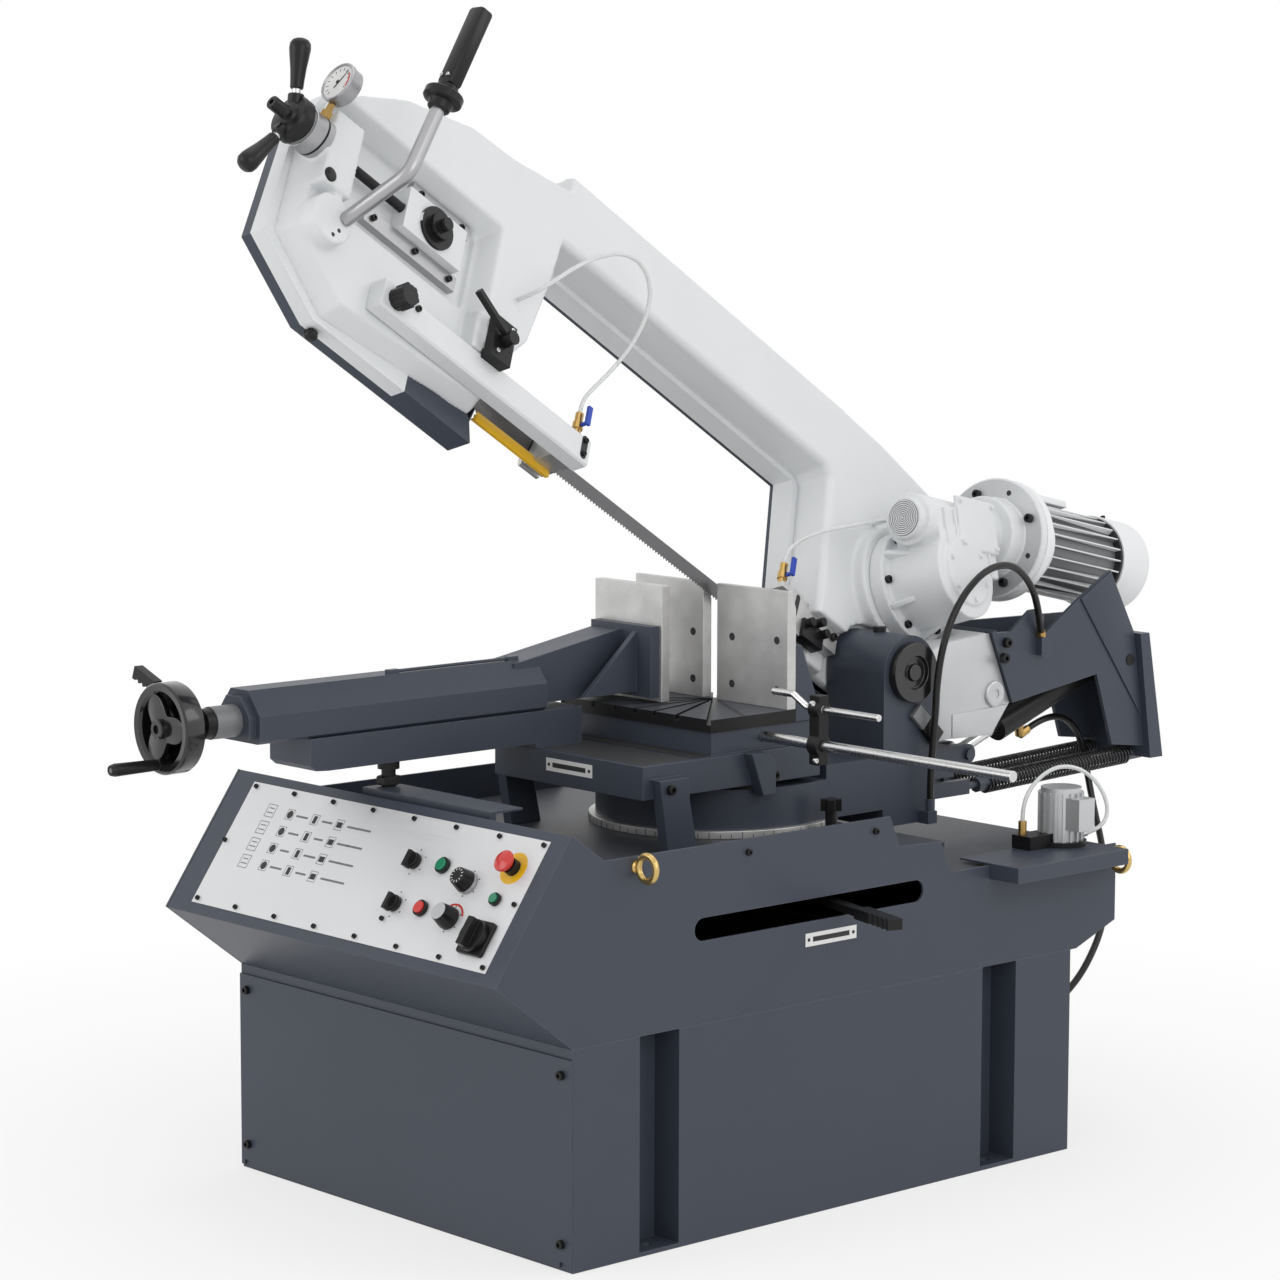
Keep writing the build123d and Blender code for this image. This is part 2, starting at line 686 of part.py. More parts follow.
# Vise: support bar, sliding beam with its jaw bracket, lock lever and handwheel
def make_support():
    side = (vise_x - beam_half, vise_x + beam_half)
    low, high = support_z
    front, rear = support_y
    bar = [(front, low + 12), (front + 12, low + 2), (front + 40, low), (rear, low), (rear, high), (front, high)]
    support = prism_x(bar, side)
    support += block(side, (rear, rear + saddle_length), (bed_z[1], high))
    back = crest[0]
    fall = (console_back[1] - crest[1]) / (console_back[0] - crest[0])
    y0, y1 = console_shelf_y
    top = console_shelf_top
    web = y0 + 3 * sheet
    shelf = [
        (y0, crest[1] + fall * (y0 - back)), (y0, top), (y1, top), (y1, top - sheet), (web, top - sheet),
        (web, crest[1] + fall * (web - back)),
    ]
    support += prism_x(shelf, console_shelf_x)
    place = Pos(support_foot_x, support_foot_y)
    support += place * upright(13, top, low) + place * upright(20, low - 14, low)
    nodes["vise_support"] = support


def make_vise():
    corner = beam_low + 50
    section = [
        (-beam_half, beam_low + 6), (8 - beam_half, beam_low), (beam_half - 8, beam_low),
        (beam_half, beam_low + 6), (beam_half, corner), (26, beam_high), (-26, beam_high), (-beam_half, corner),
    ]
    body = [(vise_x + x, z) for x, z in section]
    nose = [(vise_x + 0.78 * x, screw_z + 0.8 * (z - screw_z)) for x, z in section]
    front, rear = beam_y
    beam = prism_y(body, beam_y) + prism_y(nose, (front - nose_length, front))
    jaw_back = moving_jaw_y[0]
    plate_front = jaw_back - 22
    ramp = [
        (rear - 60, beam_high - 4), (plate_front, bracket_top - 10), (plate_front, beam_low + 10),
        (rear - 60, beam_low + 10),
    ]
    beam += prism_x(ramp, (vise_x - 0.63 * beam_half, vise_x + 0.63 * beam_half))
    beam += block((moving_jaw_x[0] + 13, moving_jaw_x[1] - 7), (plate_front, jaw_back), (beam_low + 9, bracket_top))
    gusset = [(plate_front, bracket_top - 12), (plate_front, beam_low + 18), (plate_front - 130, beam_low + 18)]
    beam += prism_x(gusset, (vise_x + beam_half + 9, vise_x + beam_half + 21))
    nose_end = front - nose_length
    collar_end = nose_end - collar_length
    beam += rod((vise_x, collar_end, screw_z), (vise_x, nose_end, screw_z), collar_radius)
    scale_x = vise_x + 16
    scale_y = (-545, -265)
    for y in scale_y:
        beam += block((scale_x - 6, scale_x + 6), (y - 12, y + 12), (beam_high, beam_high + 8))
    beam += peg((scale_x, scale_y[0], beam_high + 4), (scale_x, scale_y[1], beam_high + 4), 3)
    beam -= rod((vise_x, collar_end, screw_z), (vise_x, front + 40, screw_z), vise_screw + bore_gap)
    nodes["vise_beam"] = beam
    nodes["moving_jaw"] = block(moving_jaw_x, moving_jaw_y, (table_top + jaw_lift, jaw_top))
    hub_front = collar_end - running_gap - lever_hub
    lever = rod((vise_x, hub_front, screw_z), (vise_x, collar_end - running_gap, screw_z), collar_radius - 2)
    bar = block((-150, 0), (4, 14), (-6, 6)) + block((-214, -150), (0, lever_hub), (-14, 10))
    for i in range(4):
        bar -= rod((-158 - 14 * i, 0, -14), (-158 - 14 * i, lever_hub, -14), 5)
    lever += Pos(vise_x, hub_front, screw_z) * Rot(0, 20, 0) * bar
    lever -= rod((vise_x, hub_front, screw_z), (vise_x, collar_end, screw_z), vise_screw + bore_gap)
    nodes["vise_lock_lever"] = lever
    make_handwheel(hub_front - running_gap)


def make_handwheel(hub_end):
    face = Plane(origin=(vise_x, handwheel_y, screw_z), x_dir=(1, 0, 0), z_dir=(0, -1, 0))
    web = Circle(handwheel_radius - 10)
    for i in range(3):
        web -= Rot(0, 0, 90 + 120 * i) * Pos(40, 0) * SlotOverall(46, 24, rotation=90)
    wheel = extrude(web, 6, both=True)
    section = Plane.XZ * Pos(handwheel_radius - 11, 0) * RegularPolygon(11, 6)
    wheel = face.location * (wheel + revolve(section, Axis.Z))
    wheel += rod((vise_x, hub_end, screw_z), (vise_x, handwheel_y - 18, screw_z), 18)
    wheel += rod((vise_x, beam_y[0] + 30, screw_z), (vise_x, handwheel_y, screw_z), vise_screw)
    pin_x = vise_x - 8
    pin_z = screw_z - crank_offset
    start = handwheel_y - 12
    wheel += peg((pin_x, handwheel_y, pin_z), (pin_x, start - crank_length, pin_z), crank_pin)
    nodes["vise_handwheel"] = wheel
    bore = crank_pin + bore_gap
    profile = [
        (bore, 0), (10, 0), (11.5, 0.9 * crank_length), (9, crank_length), (bore, crank_length),
    ]
    nodes["crank_grip"] = turned(profile, (pin_x, start - running_gap, pin_z), (0, -1, 0))


# Length stop: rail, clamp and finger
def make_stop():
    start = table_x[1] - 5
    nodes["stop_rail"] = rod((start, stop_y, rail_z), (rail_end, stop_y, rail_z), stop_rail_radius)
    middle = (rail_z + finger_z) / 2
    outline = Pos(stop_y, rail_z) * Circle(20) + Pos(stop_y, finger_z) * Circle(17)
    outline += Pos(stop_y, middle) * Rectangle(24, finger_z - rail_z)
    outline += Pos(stop_y, rail_z - 24) * Rectangle(24, 24) + Pos(stop_y, finger_z + 14) * Rectangle(24, 24)
    outline -= Pos(stop_y, rail_z) * Circle(stop_rail_radius + bore_gap)
    clamp = extrude(Plane.YZ.offset(clamp_x[0]) * outline, clamp_x[1] - clamp_x[0], dir=(1, 0, 0))
    path = FilletPolyline(
        (505, stop_y, finger_z), (322, stop_y, finger_z), (284, stop_y, finger_z + finger_rise),
        (232, stop_y, finger_z + finger_rise), radius=18,
    )
    nodes["stop_clamp"] = clamp + sweep(Plane(origin=path @ 0, z_dir=path % 0) * RegularPolygon(finger_radius, 8), path=path)


# Lever under the tray that clamps the swivel
def make_lock_lever():
    grip_start = lever_length - lever_grip
    lever = block((0, grip_start), (-11, 11), (lever_z - 7, lever_z + 7))
    lever += block((grip_start, lever_length), (-15, 15), (lever_z - 10, lever_z + 10))
    for i in range(4):
        x = lever_length - 12 - 17 * i
        lever -= rod((x, -15, lever_z - 10), (x, -15, lever_z + 10), 6)
    lever = swivel(Rot(0, 0, lever_rest) * lever)
    lever += swivel(upright(40, lever_z - 13, lever_z + 13))
    lever += swivel(upright(20, lever_z, tray_height - sheet - running_gap))
    nodes["swivel_lock_lever"] = lever


# Bow casting, as outlines in the wheel plane
head_outline = [
    (-1000, 190), (-1004, 5), (-865, -90), (-483, -55), (-447, 22), (-430, 98), (-400, 259), (-395, 345),
    (-400, 470), (-568, 445), (-676, 440), (-743, 418), (-842, 386), (-955, 317),
]
head_top = [
    (-985, 190), (-982, 20), (-853, -66), (-500, -38), (-466, 22), (-448, 98), (-418, 259), (-412, 345),
    (-415, 452), (-568, 430), (-676, 425), (-743, 404), (-842, 370), (-943, 306),
]
head_raised = [
    (-985, 262), (-950, 312), (-842, 378), (-743, 410), (-676, 432), (-568, 438), (-410, 470), (-400, 345),
    (-408, 259), (-440, 98), (-486, 24), (-562, 24), (-585, 100), (-585, 250),
]
head_raised_top = [
    (-968, 278), (-944, 304), (-840, 368), (-741, 400), (-674, 422), (-566, 428), (-410, 460), (-410, 345),
    (-420, 259), (-452, 98), (-494, 34), (-548, 34), (-560, 100), (-560, 278),
]
recess = [(-985, 100), (-585, 100), (-585, 250), (-600, 262), (-985, 262)]
rear_outline = [
    (390, 500), (390, 350), (415, 330), (427, 143), (432, 20), (470, -50), (700, -50), (830, 60), (865, 188),
    (850, 330), (760, 470), (560, 494),
]
cover_outline = [
    (-960, 325), (-1006, 205), (-1022, -4), (-874, -98), (-463, -102), (-474, -66), (-442, 60), (-408, 335),
    (395, 335), (412, 130), (425, 10), (466, -60), (705, -60), (840, 52), (876, 188), (861, 335), (767, 474),
    (560, 496), (-400, 468), (-676, 436), (-842, 380),
]
tail_outline = [
    (500, pivot_z + 16), (560, pivot_z + 44), (690, pivot_z + 54), (752, pivot_z - 89), (700, pivot_z - 150),
    (565, pivot_z - 146), (500, pivot_z - 114),
]


def between(low_points, high_points, low, high):
    """Drafted block lofted from one outline to another with as many corners."""
    sections = [
        Plane.XY.offset(low) * Polygon(*low_points, align=None),
        Plane.XY.offset(high) * Polygon(*high_points, align=None),
    ]
    return loft(sections, ruled=True)


def pivot_sweep():
    """Room that the arm's barrel and upright take up in the bow over its whole travel."""
    x = (arm_x[0] - pivot_room + 2, arm_x[1] + disc_thickness + pivot_room)
    radius = pivot_radius + pivot_room
    room = rod((x[0], pivot_y, pivot_z), (x[1], pivot_y, pivot_z), radius)
    for step in (0.0, 0.5, 1.0):
        column = block(x, (-radius, radius), (arm_foot - pivot_z, 0))
        room += Pos(0, pivot_y, pivot_z) * Rot(-raise_angle * step, 0, 0) * column
    return room


def edged(shape, size):
    """Solid with the rim of its top face chamfered."""
    return chamfer(shape.faces().sort_by(Axis.Z)[-1].edges(), size)


def make_casting():
    axle = wheel_radius
    head = between(head_outline, head_top, cast_back, head_face)
    head += between(head_raised, head_raised_top, head_floor, beam_face)
    head -= prism_z(recess, head_floor, beam_face)
    beam = block((head_raised_top[6][0], rear_outline[1][0] + 40), beam_b, (cast_back, beam_face))
    beam = chamfer(beam.faces().sort_by(Axis.Z)[-1].edges().filter_by(Axis.X), cast_edge)
    pocket_b = (beam_b[0] + cast_wall, beam_b[1] - cast_wall)
    beam -= block((head_outline[7][0], rear_outline[1][0]), pocket_b, (cast_back, beam_face - cast_wall))
    rear = edged(prism_z(rear_outline, cast_back, beam_face), cast_edge)
    rear -= block((rear_outline[0][0], rear_outline[8][0]), (rear_outline[5][1], shelf[0]), (shelf[1], beam_face))
    flange_back = flange_face - flange_thickness
    rear += Pos(drive_a, axle) * upright(boss_radius, cast_back, flange_back)
    boss = Pos(*handle_boss) * upright(handle_boss_radius, head_floor, handle_boss_top)
    housing_b = (axle - housing_reach[0], axle + housing_reach[1])
    housing = block(housing_a, housing_b, (head_floor - 5, 100))
    can_end = housing_a[0] - spring_can
    can = rod((can_end, axle, tension_c), (housing_a[0], axle, tension_c), can_radius)
    clamp_seat = block((-575, -488), (guide_b[1] + 2, 92), (head_floor, guide_c[1]))
    casting = head + beam + rear + boss + housing + can + clamp_seat
    screw_room = screw_radius + bore_gap
    casting -= rod((can_end, axle, tension_c), (slide_a[0], axle, tension_c), screw_room)
    room = axle_radius + 4
    slot_a = (idler_a - room, idler_a + room + tension_travel)
    casting -= block(slot_a, (axle - room, axle + room), (cast_back, head_floor))
    casting -= Pos(drive_a, axle) * upright(shaft_radius + 5, cast_back, flange_back)
    casting = on_bow(casting) + prism_x(tail_outline, (shaft_start, bracket_x[1] - bracket_plate))
    casting -= on_bow(Pos(drive_a, axle) * upright(flange_radius + 1, flange_back, beam_face + 2 * boss_radius))
    casting -= on_bow(block((-2 * drive_a, 2 * drive_a), (-drive_a, drive_a), (-drive_a, cast_back)))
    casting -= pivot_sweep()
    casting -= rod((shaft_start - 40, pivot_y, pivot_z), (arm_x[0], pivot_y, pivot_z), shaft_radius)
    nodes["bow_casting"] = casting


def make_cover():
    outline = Polygon(*cover_outline, align=None)
    inside = offset(outline, -cover_sheet, kind=Kind.INTERSECTION)
    up = (0, 0, 1)
    cover = extrude(Plane.XY.offset(-cover_depth) * outline, cover_depth + cast_back, dir=up)
    cover -= extrude(Plane.XY.offset(cover_sheet - cover_depth) * inside, cover_depth + cast_back, dir=up)
    half = blade_width
    for a in ((front_twist[1] - 190, front_twist[1] - 60), (rear_twist[0] - 32, rear_twist[0] + 88)):
        cover -= block(a, (-half, half), (-half, cast_back))
    nodes["wheel_cover"] = on_bow(cover)


def make_pivot_shaft():
    low = arm_x[1] + running_gap
    high = arm_x[1] + disc_thickness
    shaft = rod((shaft_start, pivot_y, pivot_z), (high, pivot_y, pivot_z), shaft_radius)
    shaft += rod((low, pivot_y, pivot_z), (high, pivot_y, pivot_z), disc_radius)
    shaft -= rod((high - 10, pivot_y, pivot_z), (high, pivot_y, pivot_z), 0.55 * disc_radius)
    shaft += rod((low, pivot_y, pivot_z), (high - 2, pivot_y, pivot_z), 0.28 * disc_radius)
    nodes["pivot_shaft"] = shaft


# Band wheels and the twisted blade
def band_wheel(bore):
    half = wheel_width / 2
    rim = wheel_radius - blade_thickness / 2 - running_gap
    profile = [
        (bore, -half), (rim, -half), (rim, half - 1), (rim + wheel_lip, half - 1), (rim + wheel_lip, half + 3),
        (rim - 20, half + 3), (rim - 26, 0), (bore, 0),
    ]
    return turned(profile, (0, 0, 0), (0, 0, 1))


def make_wheels():
    drive = band_wheel(0.0) + upright(shaft_radius, 0, flange_face)
    nodes["drive_wheel"] = on_bow(Pos(drive_a, wheel_radius) * drive)
    nodes["idler_wheel"] = on_bow(Pos(idler_a, wheel_radius) * band_wheel(axle_radius + bore_gap))


def blade_section(a, turn):
    plane = Plane(origin=(a, 0, 0), x_dir=(0, 1, 0), z_dir=(1, 0, 0))
    return plane * Rot(0, 0, turn) * Rectangle(blade_thickness, blade_width)


def twisted(span, start_turn, end_turn):
    steps = 6
    sections = []
    for i in range(steps + 1):
        share = i / steps
        a = span[0] + (span[1] - span[0]) * share
        sections.append(blade_section(a, start_turn + (end_turn - start_turn) * share))
    return loft(sections, ruled=True)


def make_blade():
    """The endless band in six runs that meet end to end, each a plain strip, arc or twist."""
    middle = Pos((idler_a + drive_a) / 2, wheel_radius)
    span = drive_a - idler_a
    loop = middle * SlotCenterToCenter(span, 2 * wheel_radius + blade_thickness)
    loop -= middle * SlotCenterToCenter(span, 2 * wheel_radius - blade_thickness)
    band = extrude(Plane.XY.offset(-blade_width / 2) * loop, blade_width)
    between = (front_twist[0], rear_twist[1])
    lower = block(between, (-wheel_radius, wheel_radius), (-blade_width, blade_width))
    upper = block(between, (wheel_radius, 3 * wheel_radius), (-blade_width, blade_width))
    turn = lean_angle - 90
    runs = list((band - lower - upper).solids())
    runs += (band & upper).solids()
    runs.append(twisted(front_twist, 0, turn))
    runs.append(loft([blade_section(front_twist[1], turn), blade_section(rear_twist[0], turn)], ruled=True))
    runs.append(twisted(rear_twist, turn, 0))
    nodes["blade"] = Compound([on_bow(run) for run in runs])


# Blade tension: slide with the idler axle, star handle, gauge and the plates on the head
def make_tension():
    axle = wheel_radius
    upper = axle + slide_half + running_gap
    lower = axle - slide_half - running_gap
    floor = (head_floor, head_floor + rail_height)
    pad_low = beam_face + running_gap
    pad = block(pad_a, pad_b, (pad_low, pad_low + pad_thickness))
    pad += block(pad_a, (pad_b[0], guide_b[1] + 8), (guide_c[1] + running_gap, pad_low))
    plates = [
        block(upper_rail_a, (upper, upper + rail_width), floor),
        block(lower_rail_a, (lower - rail_width, lower), floor),
        pad,
    ]
    nodes["head_plates"] = Compound([on_bow(plate) for plate in plates])
    low = head_floor + running_gap
    place = Pos(idler_a, axle)
    slide = block(slide_a, (axle - slide_half, axle + slide_half), (low, low + slide_height))
    slide += place * upright(40, low, low + slide_height + 6)
    slide += place * upright(25, low, low + slide_height + 18)
    slide += place * upright(12, low, low + slide_height + 32)
    slide += place * upright(axle_radius, -wheel_width / 2, low)
    nut_end = slide_a[0] + screw_grip + tension_travel
    slide -= rod((slide_a[0], axle, tension_c), (nut_end, axle, tension_c), screw_radius + bore_gap)
    nodes["tension_slide"] = on_bow(slide)
    hub = housing_a[0] - spring_can - running_gap
    handle = rod((hub - hub_length, axle, tension_c), (hub, axle, tension_c), hub_radius)
    handle += peg((hub - 1.9 * hub_length, axle, tension_c), (hub, axle, tension_c), 0.3 * hub_radius)
    handle += peg((hub, axle, tension_c), (slide_a[0] + screw_grip, axle, tension_c), screw_radius)
    centre = Vector(hub - hub_length / 2, axle, tension_c)
    grip = [
        (0, 0), (8, 0), (8, 0.15 * arm_reach), (12, 0.15 * arm_reach), (19, 0.8 * arm_reach), (12, 0.95 * arm_reach),
        (0, 0.95 * arm_reach),
    ]
    lean = radians(star_lean)
    for angle in star_angles:
        turn = radians(angle)
        way = Vector(-sin(lean), cos(lean) * sin(turn), cos(lean) * cos(turn))
        handle += turned(grip, centre + way * (hub_radius - 6), way)
    nodes["tension_handle"] = on_bow(handle)
    lean = radians(gauge_lean)
    way = Vector(0, cos(lean), sin(lean))
    axis = Vector(gauge_a, axle, tension_c)
    middle = axis + way * gauge_reach
    half = Vector(gauge_depth / 2, 0, 0)
    gauge = rod(middle - half, middle + half, gauge_radius)
    gauge += peg(axis + way * (can_radius + running_gap), middle, 6)
    nodes["tension_gauge"] = on_bow(gauge)


# Handle bent up from its boss on the head
def make_handle():
    foot, bend, top = [Vector(*point) for point in handle_points]
    path = FilletPolyline(foot, bend, top, radius=handle_bend)
    tube = sweep(Plane(origin=path @ 0, z_dir=path % 0) * RegularPolygon(handle_tube_radius, 12), path=path)
    tube -= Pos(*handle_boss) * upright(handle_boss_radius + handle_tube_radius, 0, handle_boss_top)
    way = (top - bend).normalized()
    guard_radius, guard_length = handle_guard
    grip_foot = top + way * guard_length
    profile = [
        (0, 0), (0.6 * guard_radius, 0), (0.66 * guard_radius, 0.25 * guard_length), (guard_radius, 0.32 * guard_length),
        (guard_radius, 0.68 * guard_length), (0.6 * guard_radius, 0.76 * guard_length),
        (0.5 * guard_radius, guard_length), (0, guard_length),
    ]
    tube += turned(profile, top, way)
    grip_width, grip_depth, grip_length = handle_grip
    grip = Plane(origin=grip_foot, x_dir=(1, 0, 0), z_dir=way) * RectangleRounded(grip_width, grip_depth, 8)
    nodes["bow_handle"] = on_bow(tube + extrude(grip, grip_length))


# Front guide arm with its block, guard and tap; rear guide on the casting
def blade_slot(a, reach):
    """Room for the blade where it stands upright between the twists."""
    return Rot(lean_angle, 0, 0) * block(a, (-reach, reach), (-slot_room, slot_room))


def tap_body(a, b, c):
    tap = peg((a, b, c), (a, b + tap_length, c), tap_radius)
    return tap + peg((a, b + 0.3 * tap_length, c), (a, b + 0.6 * tap_length, c), 1.3 * tap_radius)


def tap_lever(a, b, c):
    start = c + 1.3 * tap_radius + running_gap
    lever = rod((0, 0, 0), (0, 0, 14), 4) + block((-5, 5), (-4, 34), (10, 16))
    return Pos(a, b + 0.45 * tap_length, start) * lever


def make_guides():
    bar = block(guide_a, guide_b, guide_c)
    bar = chamfer(bar.edges().filter_by(Axis.X), 4)
    place = Pos(guide_a[0] + 32, sum(guide_b) / 2)
    knob = place * extrude(Plane.XY.offset(guide_c[1]) * RegularPolygon(20, 12), 34)
    end = guide_a[1]
    holder_a = (end - holder_length, end)
    holder = block(holder_a, (-34, 40), (-24, guide_c[0])) - blade_slot(holder_a, 60)
    holder += block((end - 0.4 * holder_length, end), (20, 40), (-24, guide_c[0]))
    guard_a = (end - 212, end - 5)
    corner = [(4, -43), (13, -43), (13, -33)]
    guard = extrude(
        Plane(origin=(guard_a[0], 0, 0), x_dir=(0, 0, 1), z_dir=(-1, 0, 0)) * Polygon(*strip(corner, 3), align=None),
        guard_a[1] - guard_a[0], dir=(1, 0, 0),
    )
    nodes["guide_block"] = on_bow(holder + guard)
    tap_a, tap_b, tap_c = front_route[-1]
    tap = tap_body(tap_a, tap_b - tap_length, tap_c)
    nodes["guide_arm"] = on_bow(bar + knob + tap)
    nodes["front_tap_lever"] = on_bow(tap_lever(tap_a, tap_b - tap_length, tap_c))
    low = beam_face + pad_thickness + 2 * running_gap
    lever = upright(13, low, low + 24) + block((-104, 0), (-5, 5), (low + 6, low + 18))
    nodes["guide_clamp_lever"] = on_bow(Pos(-526, 44) * Rot(0, 0, -25) * lever)
    a0, a1 = rear_guide_a
    guide = block((a0, a1), (-36, 52), (-24, 88)) - blade_slot((a0, a1), 60)
    guide += block((a0, a1), (36, 52), (-24, 88))
    guide += block((a1, rear_outline[5][0]), (-30, 52), (cast_back + 10, 80)) - prism_z(rear_outline, 0, 200)
    tap_a, tap_b, tap_c = rear_route[-1]
    guide += block((tap_a - 12, a0), (40, 52), (tap_c - 14, tap_c + 14))
    guide += block((a1, shelf_plate[0]), (shelf_plate[1], shelf[0]), (shelf[1], shelf_plate[2]))
    nodes["rear_guide"] = on_bow(guide + tap_body(tap_a, tap_b - tap_length, tap_c)) - pivot_sweep()
    nodes["rear_tap_lever"] = on_bow(tap_lever(tap_a, tap_b - tap_length, tap_c))


# Worm gearbox and flanged motor
def make_drive():
    place = Pos(drive_a, wheel_radius)
    low = flange_face - flange_thickness
    box = place * upright(flange_radius, low, flange_face)
    box += place * upright(gear_radius, low, gear_face)
    box += place * upright(0.75 * gear_radius, gear_face, gear_face + 8)
    way = Vector(cos(radians(worm_angle)), sin(radians(worm_angle)), 0)
    worm = Vector(drive_a, wheel_radius, worm_c) + Vector(-way.Y, way.X, 0) * worm_offset
    turn = Plane(origin=worm, x_dir=way, z_dir=(0, 0, 1)).location
    box += turn * block((-70, 120), (-worm_offset, 20), (-worm_radius, worm_radius))
    box += turn * block((-10, 118), (-60, 46), (worm_radius, worm_radius + 10))
    box += rod(worm - way * 96, worm + way * motor_start, worm_radius)
    box += rod(worm - way * 112, worm - way * 96, 0.8 * worm_radius)
    box += rod(worm + way * 0.7 * motor_start, worm + way * motor_start, 80)
    box += rod(worm + way * (motor_start - motor_flange), worm + way * motor_start, motor_flange_radius)
    box -= place * upright(shaft_radius + bore_gap, low, flange_face + bore_gap)
    nodes["gearbox"] = on_bow(box)
    fan = motor_end - fan_cover
    body = motor_start + motor_flange
    motor = rod(worm + way * motor_start, worm + way * body, motor_flange_radius)
    motor += rod(worm + way * body, worm + way * fan, 0.84 * motor_radius)
    for i in range(motor_fins):
        fin = block((body, fan), (0.8 * motor_radius, motor_radius), (-1.5, 1.5))
        motor += turn * Rot(360 * i / motor_fins, 0, 0) * fin
    motor += rod(worm + way * fan, worm + way * motor_end, motor_radius + 4)
    nodes["drive_motor"] = on_bow(motor)


# Lift bracket, cylinder and counterbalance springs behind the pivot
bracket_rear = [(1111, pivot_z + 20), (1146, pivot_z - 214), (1050, pivot_z - 202), (1000, pivot_z - 54)]
bracket_outline = [
    tail_outline[2], (743, pivot_z + 52), (798, pivot_z + 90), (815, pivot_z + 91), (840, pivot_z + 79),
    (834, pivot_z + 35), (943, pivot_z + 102), (1037, pivot_z + 153), *bracket_rear, tail_outline[3],
]
far_outline = [
    tail_outline[2], (726, pivot_z + 61), (1060, pivot_z + 54), *bracket_rear, tail_outline[3],
]
bracket_flange = [
    (1111, pivot_z + 20), (1138, pivot_z + 20), (1186, pivot_z - 238), (1148, pivot_z - 238),
]


def spring_way():
    return Vector(0, spring_rear[0] - spring_front[0], spring_rear[1] - spring_front[1])


def rod_along_spring(x, start, end, radius):
    """Cylinder on a spring's axis, between two distances from its front end."""
    way = spring_way().normalized()
    front = Vector(x, *spring_front)
    return peg(front + way * start, front + way * end, radius)


def make_lift():
    bracket = prism_x(far_outline, (bracket_x[0], bracket_x[0] + bracket_plate))
    bracket += prism_x(bracket_outline, (bracket_x[1] - bracket_plate, bracket_x[1]))
    between_plates = (bracket_x[0], bracket_x[1])
    front = strip([tail_outline[3], tail_outline[2]], -1.5 * bracket_plate)
    bracket += prism_x(front, between_plates)
    bracket += prism_x(bracket_flange, (bracket_x[0] - 18, bracket_x[1] + 18))
    pin_y, pin_z = barrel_pin
    bracket += rod((bracket_x[0] - 6, pin_y, pin_z), (bracket_x[1] + 6, pin_y, pin_z), pin_radius)
    length = spring_way().length
    plug = spring_radius - spring_wire / 2 - running_gap
    for x in spring_x:
        bracket += rod_along_spring(x, length - spring_plug, length + 40, plug)
    bracket += hose_fitting(loop_route[0], loop_route[1], hose_end, pressure_hose)
    x, y, z = loop_route[0]
    bracket += block((bracket_x[1], x + pressure_hose / 2), (y - 4, y + 20), (z - 2 * hose_end, z - hose_end / 2))
    nodes["tail_bracket"] = bracket
    eye_y, eye_z = rod_eye
    pin = Vector(cylinder_x, pin_y, pin_z)
    way = Vector(0, eye_y - pin_y, eye_z - pin_z)
    length = way.length
    way = way.normalized()
    end = length - barrel_gap
    barrel = rod(pin + way * 8, pin + way * (end + 12), barrel_radius)
    barrel += rod((cylinder_x - 26, pin_y, pin_z), (cylinder_x + 26, pin_y, pin_z), barrel_eye)
    stub = pin + way * (Vector(*lift_elbow) - pin).dot(way)
    barrel += peg(stub, lift_elbow, 0.65 * pressure_hose)
    barrel += hose_fitting(lift_route[0], lift_route[1], hose_end, pressure_hose)
    barrel -= rod((cylinder_x - 40, pin_y, pin_z), (cylinder_x + 40, pin_y, pin_z), pin_radius + bore_gap)
    barrel -= rod(pin + way * 60, pin + way * (end + 12), rod_radius + bore_gap)
    nodes["cylinder_barrel"] = barrel
    piston = rod(pin + way * 70, pin + way * length, rod_radius)
    piston += rod((cylinder_x - eye_half, eye_y, eye_z), (cylinder_x + eye_half, eye_y, eye_z), 17)
    piston -= rod((cylinder_x - eye_half, eye_y, eye_z), (cylinder_x + eye_half, eye_y, eye_z), 9)
    nodes["cylinder_rod"] = piston


def coil_point(angle, pitch):
    return Vector(pitch * angle / (2 * pi), spring_radius * cos(angle), spring_radius * sin(angle))


def coil_tangent(angle, pitch):
    return Vector(pitch / (2 * pi), -spring_radius * sin(angle), spring_radius * cos(angle)).normalized()


def biarc(start, start_way, end, end_way):
    """Two arcs that leave start and reach end along the given directions."""
    chord = end - start
    ways = start_way + end_way
    bend = 2 * (1 - start_way.dot(end_way))
    along = chord.dot(ways)
    reach = (sqrt(along * along + bend * chord.dot(chord)) - along) / bend
    first = start + start_way * reach
    last = end - end_way * reach
    join = (first + last) * 0.5
    return [TangentArc(start, join, tangent=start_way), TangentArc(join, end, tangent=last - first)]


def coil_gap(pitch):
    """Least distance between neighbouring turns of the wire, measured on points along the coil."""
    steps = 24
    points = [coil_point(2 * pi * i / steps, pitch) for i in range(3 * steps + 1)]
    least = min(
        (points[j] - points[i]).length for i in range(steps) for j in range(i + steps // 2, len(points))
    )
    return least - spring_wire


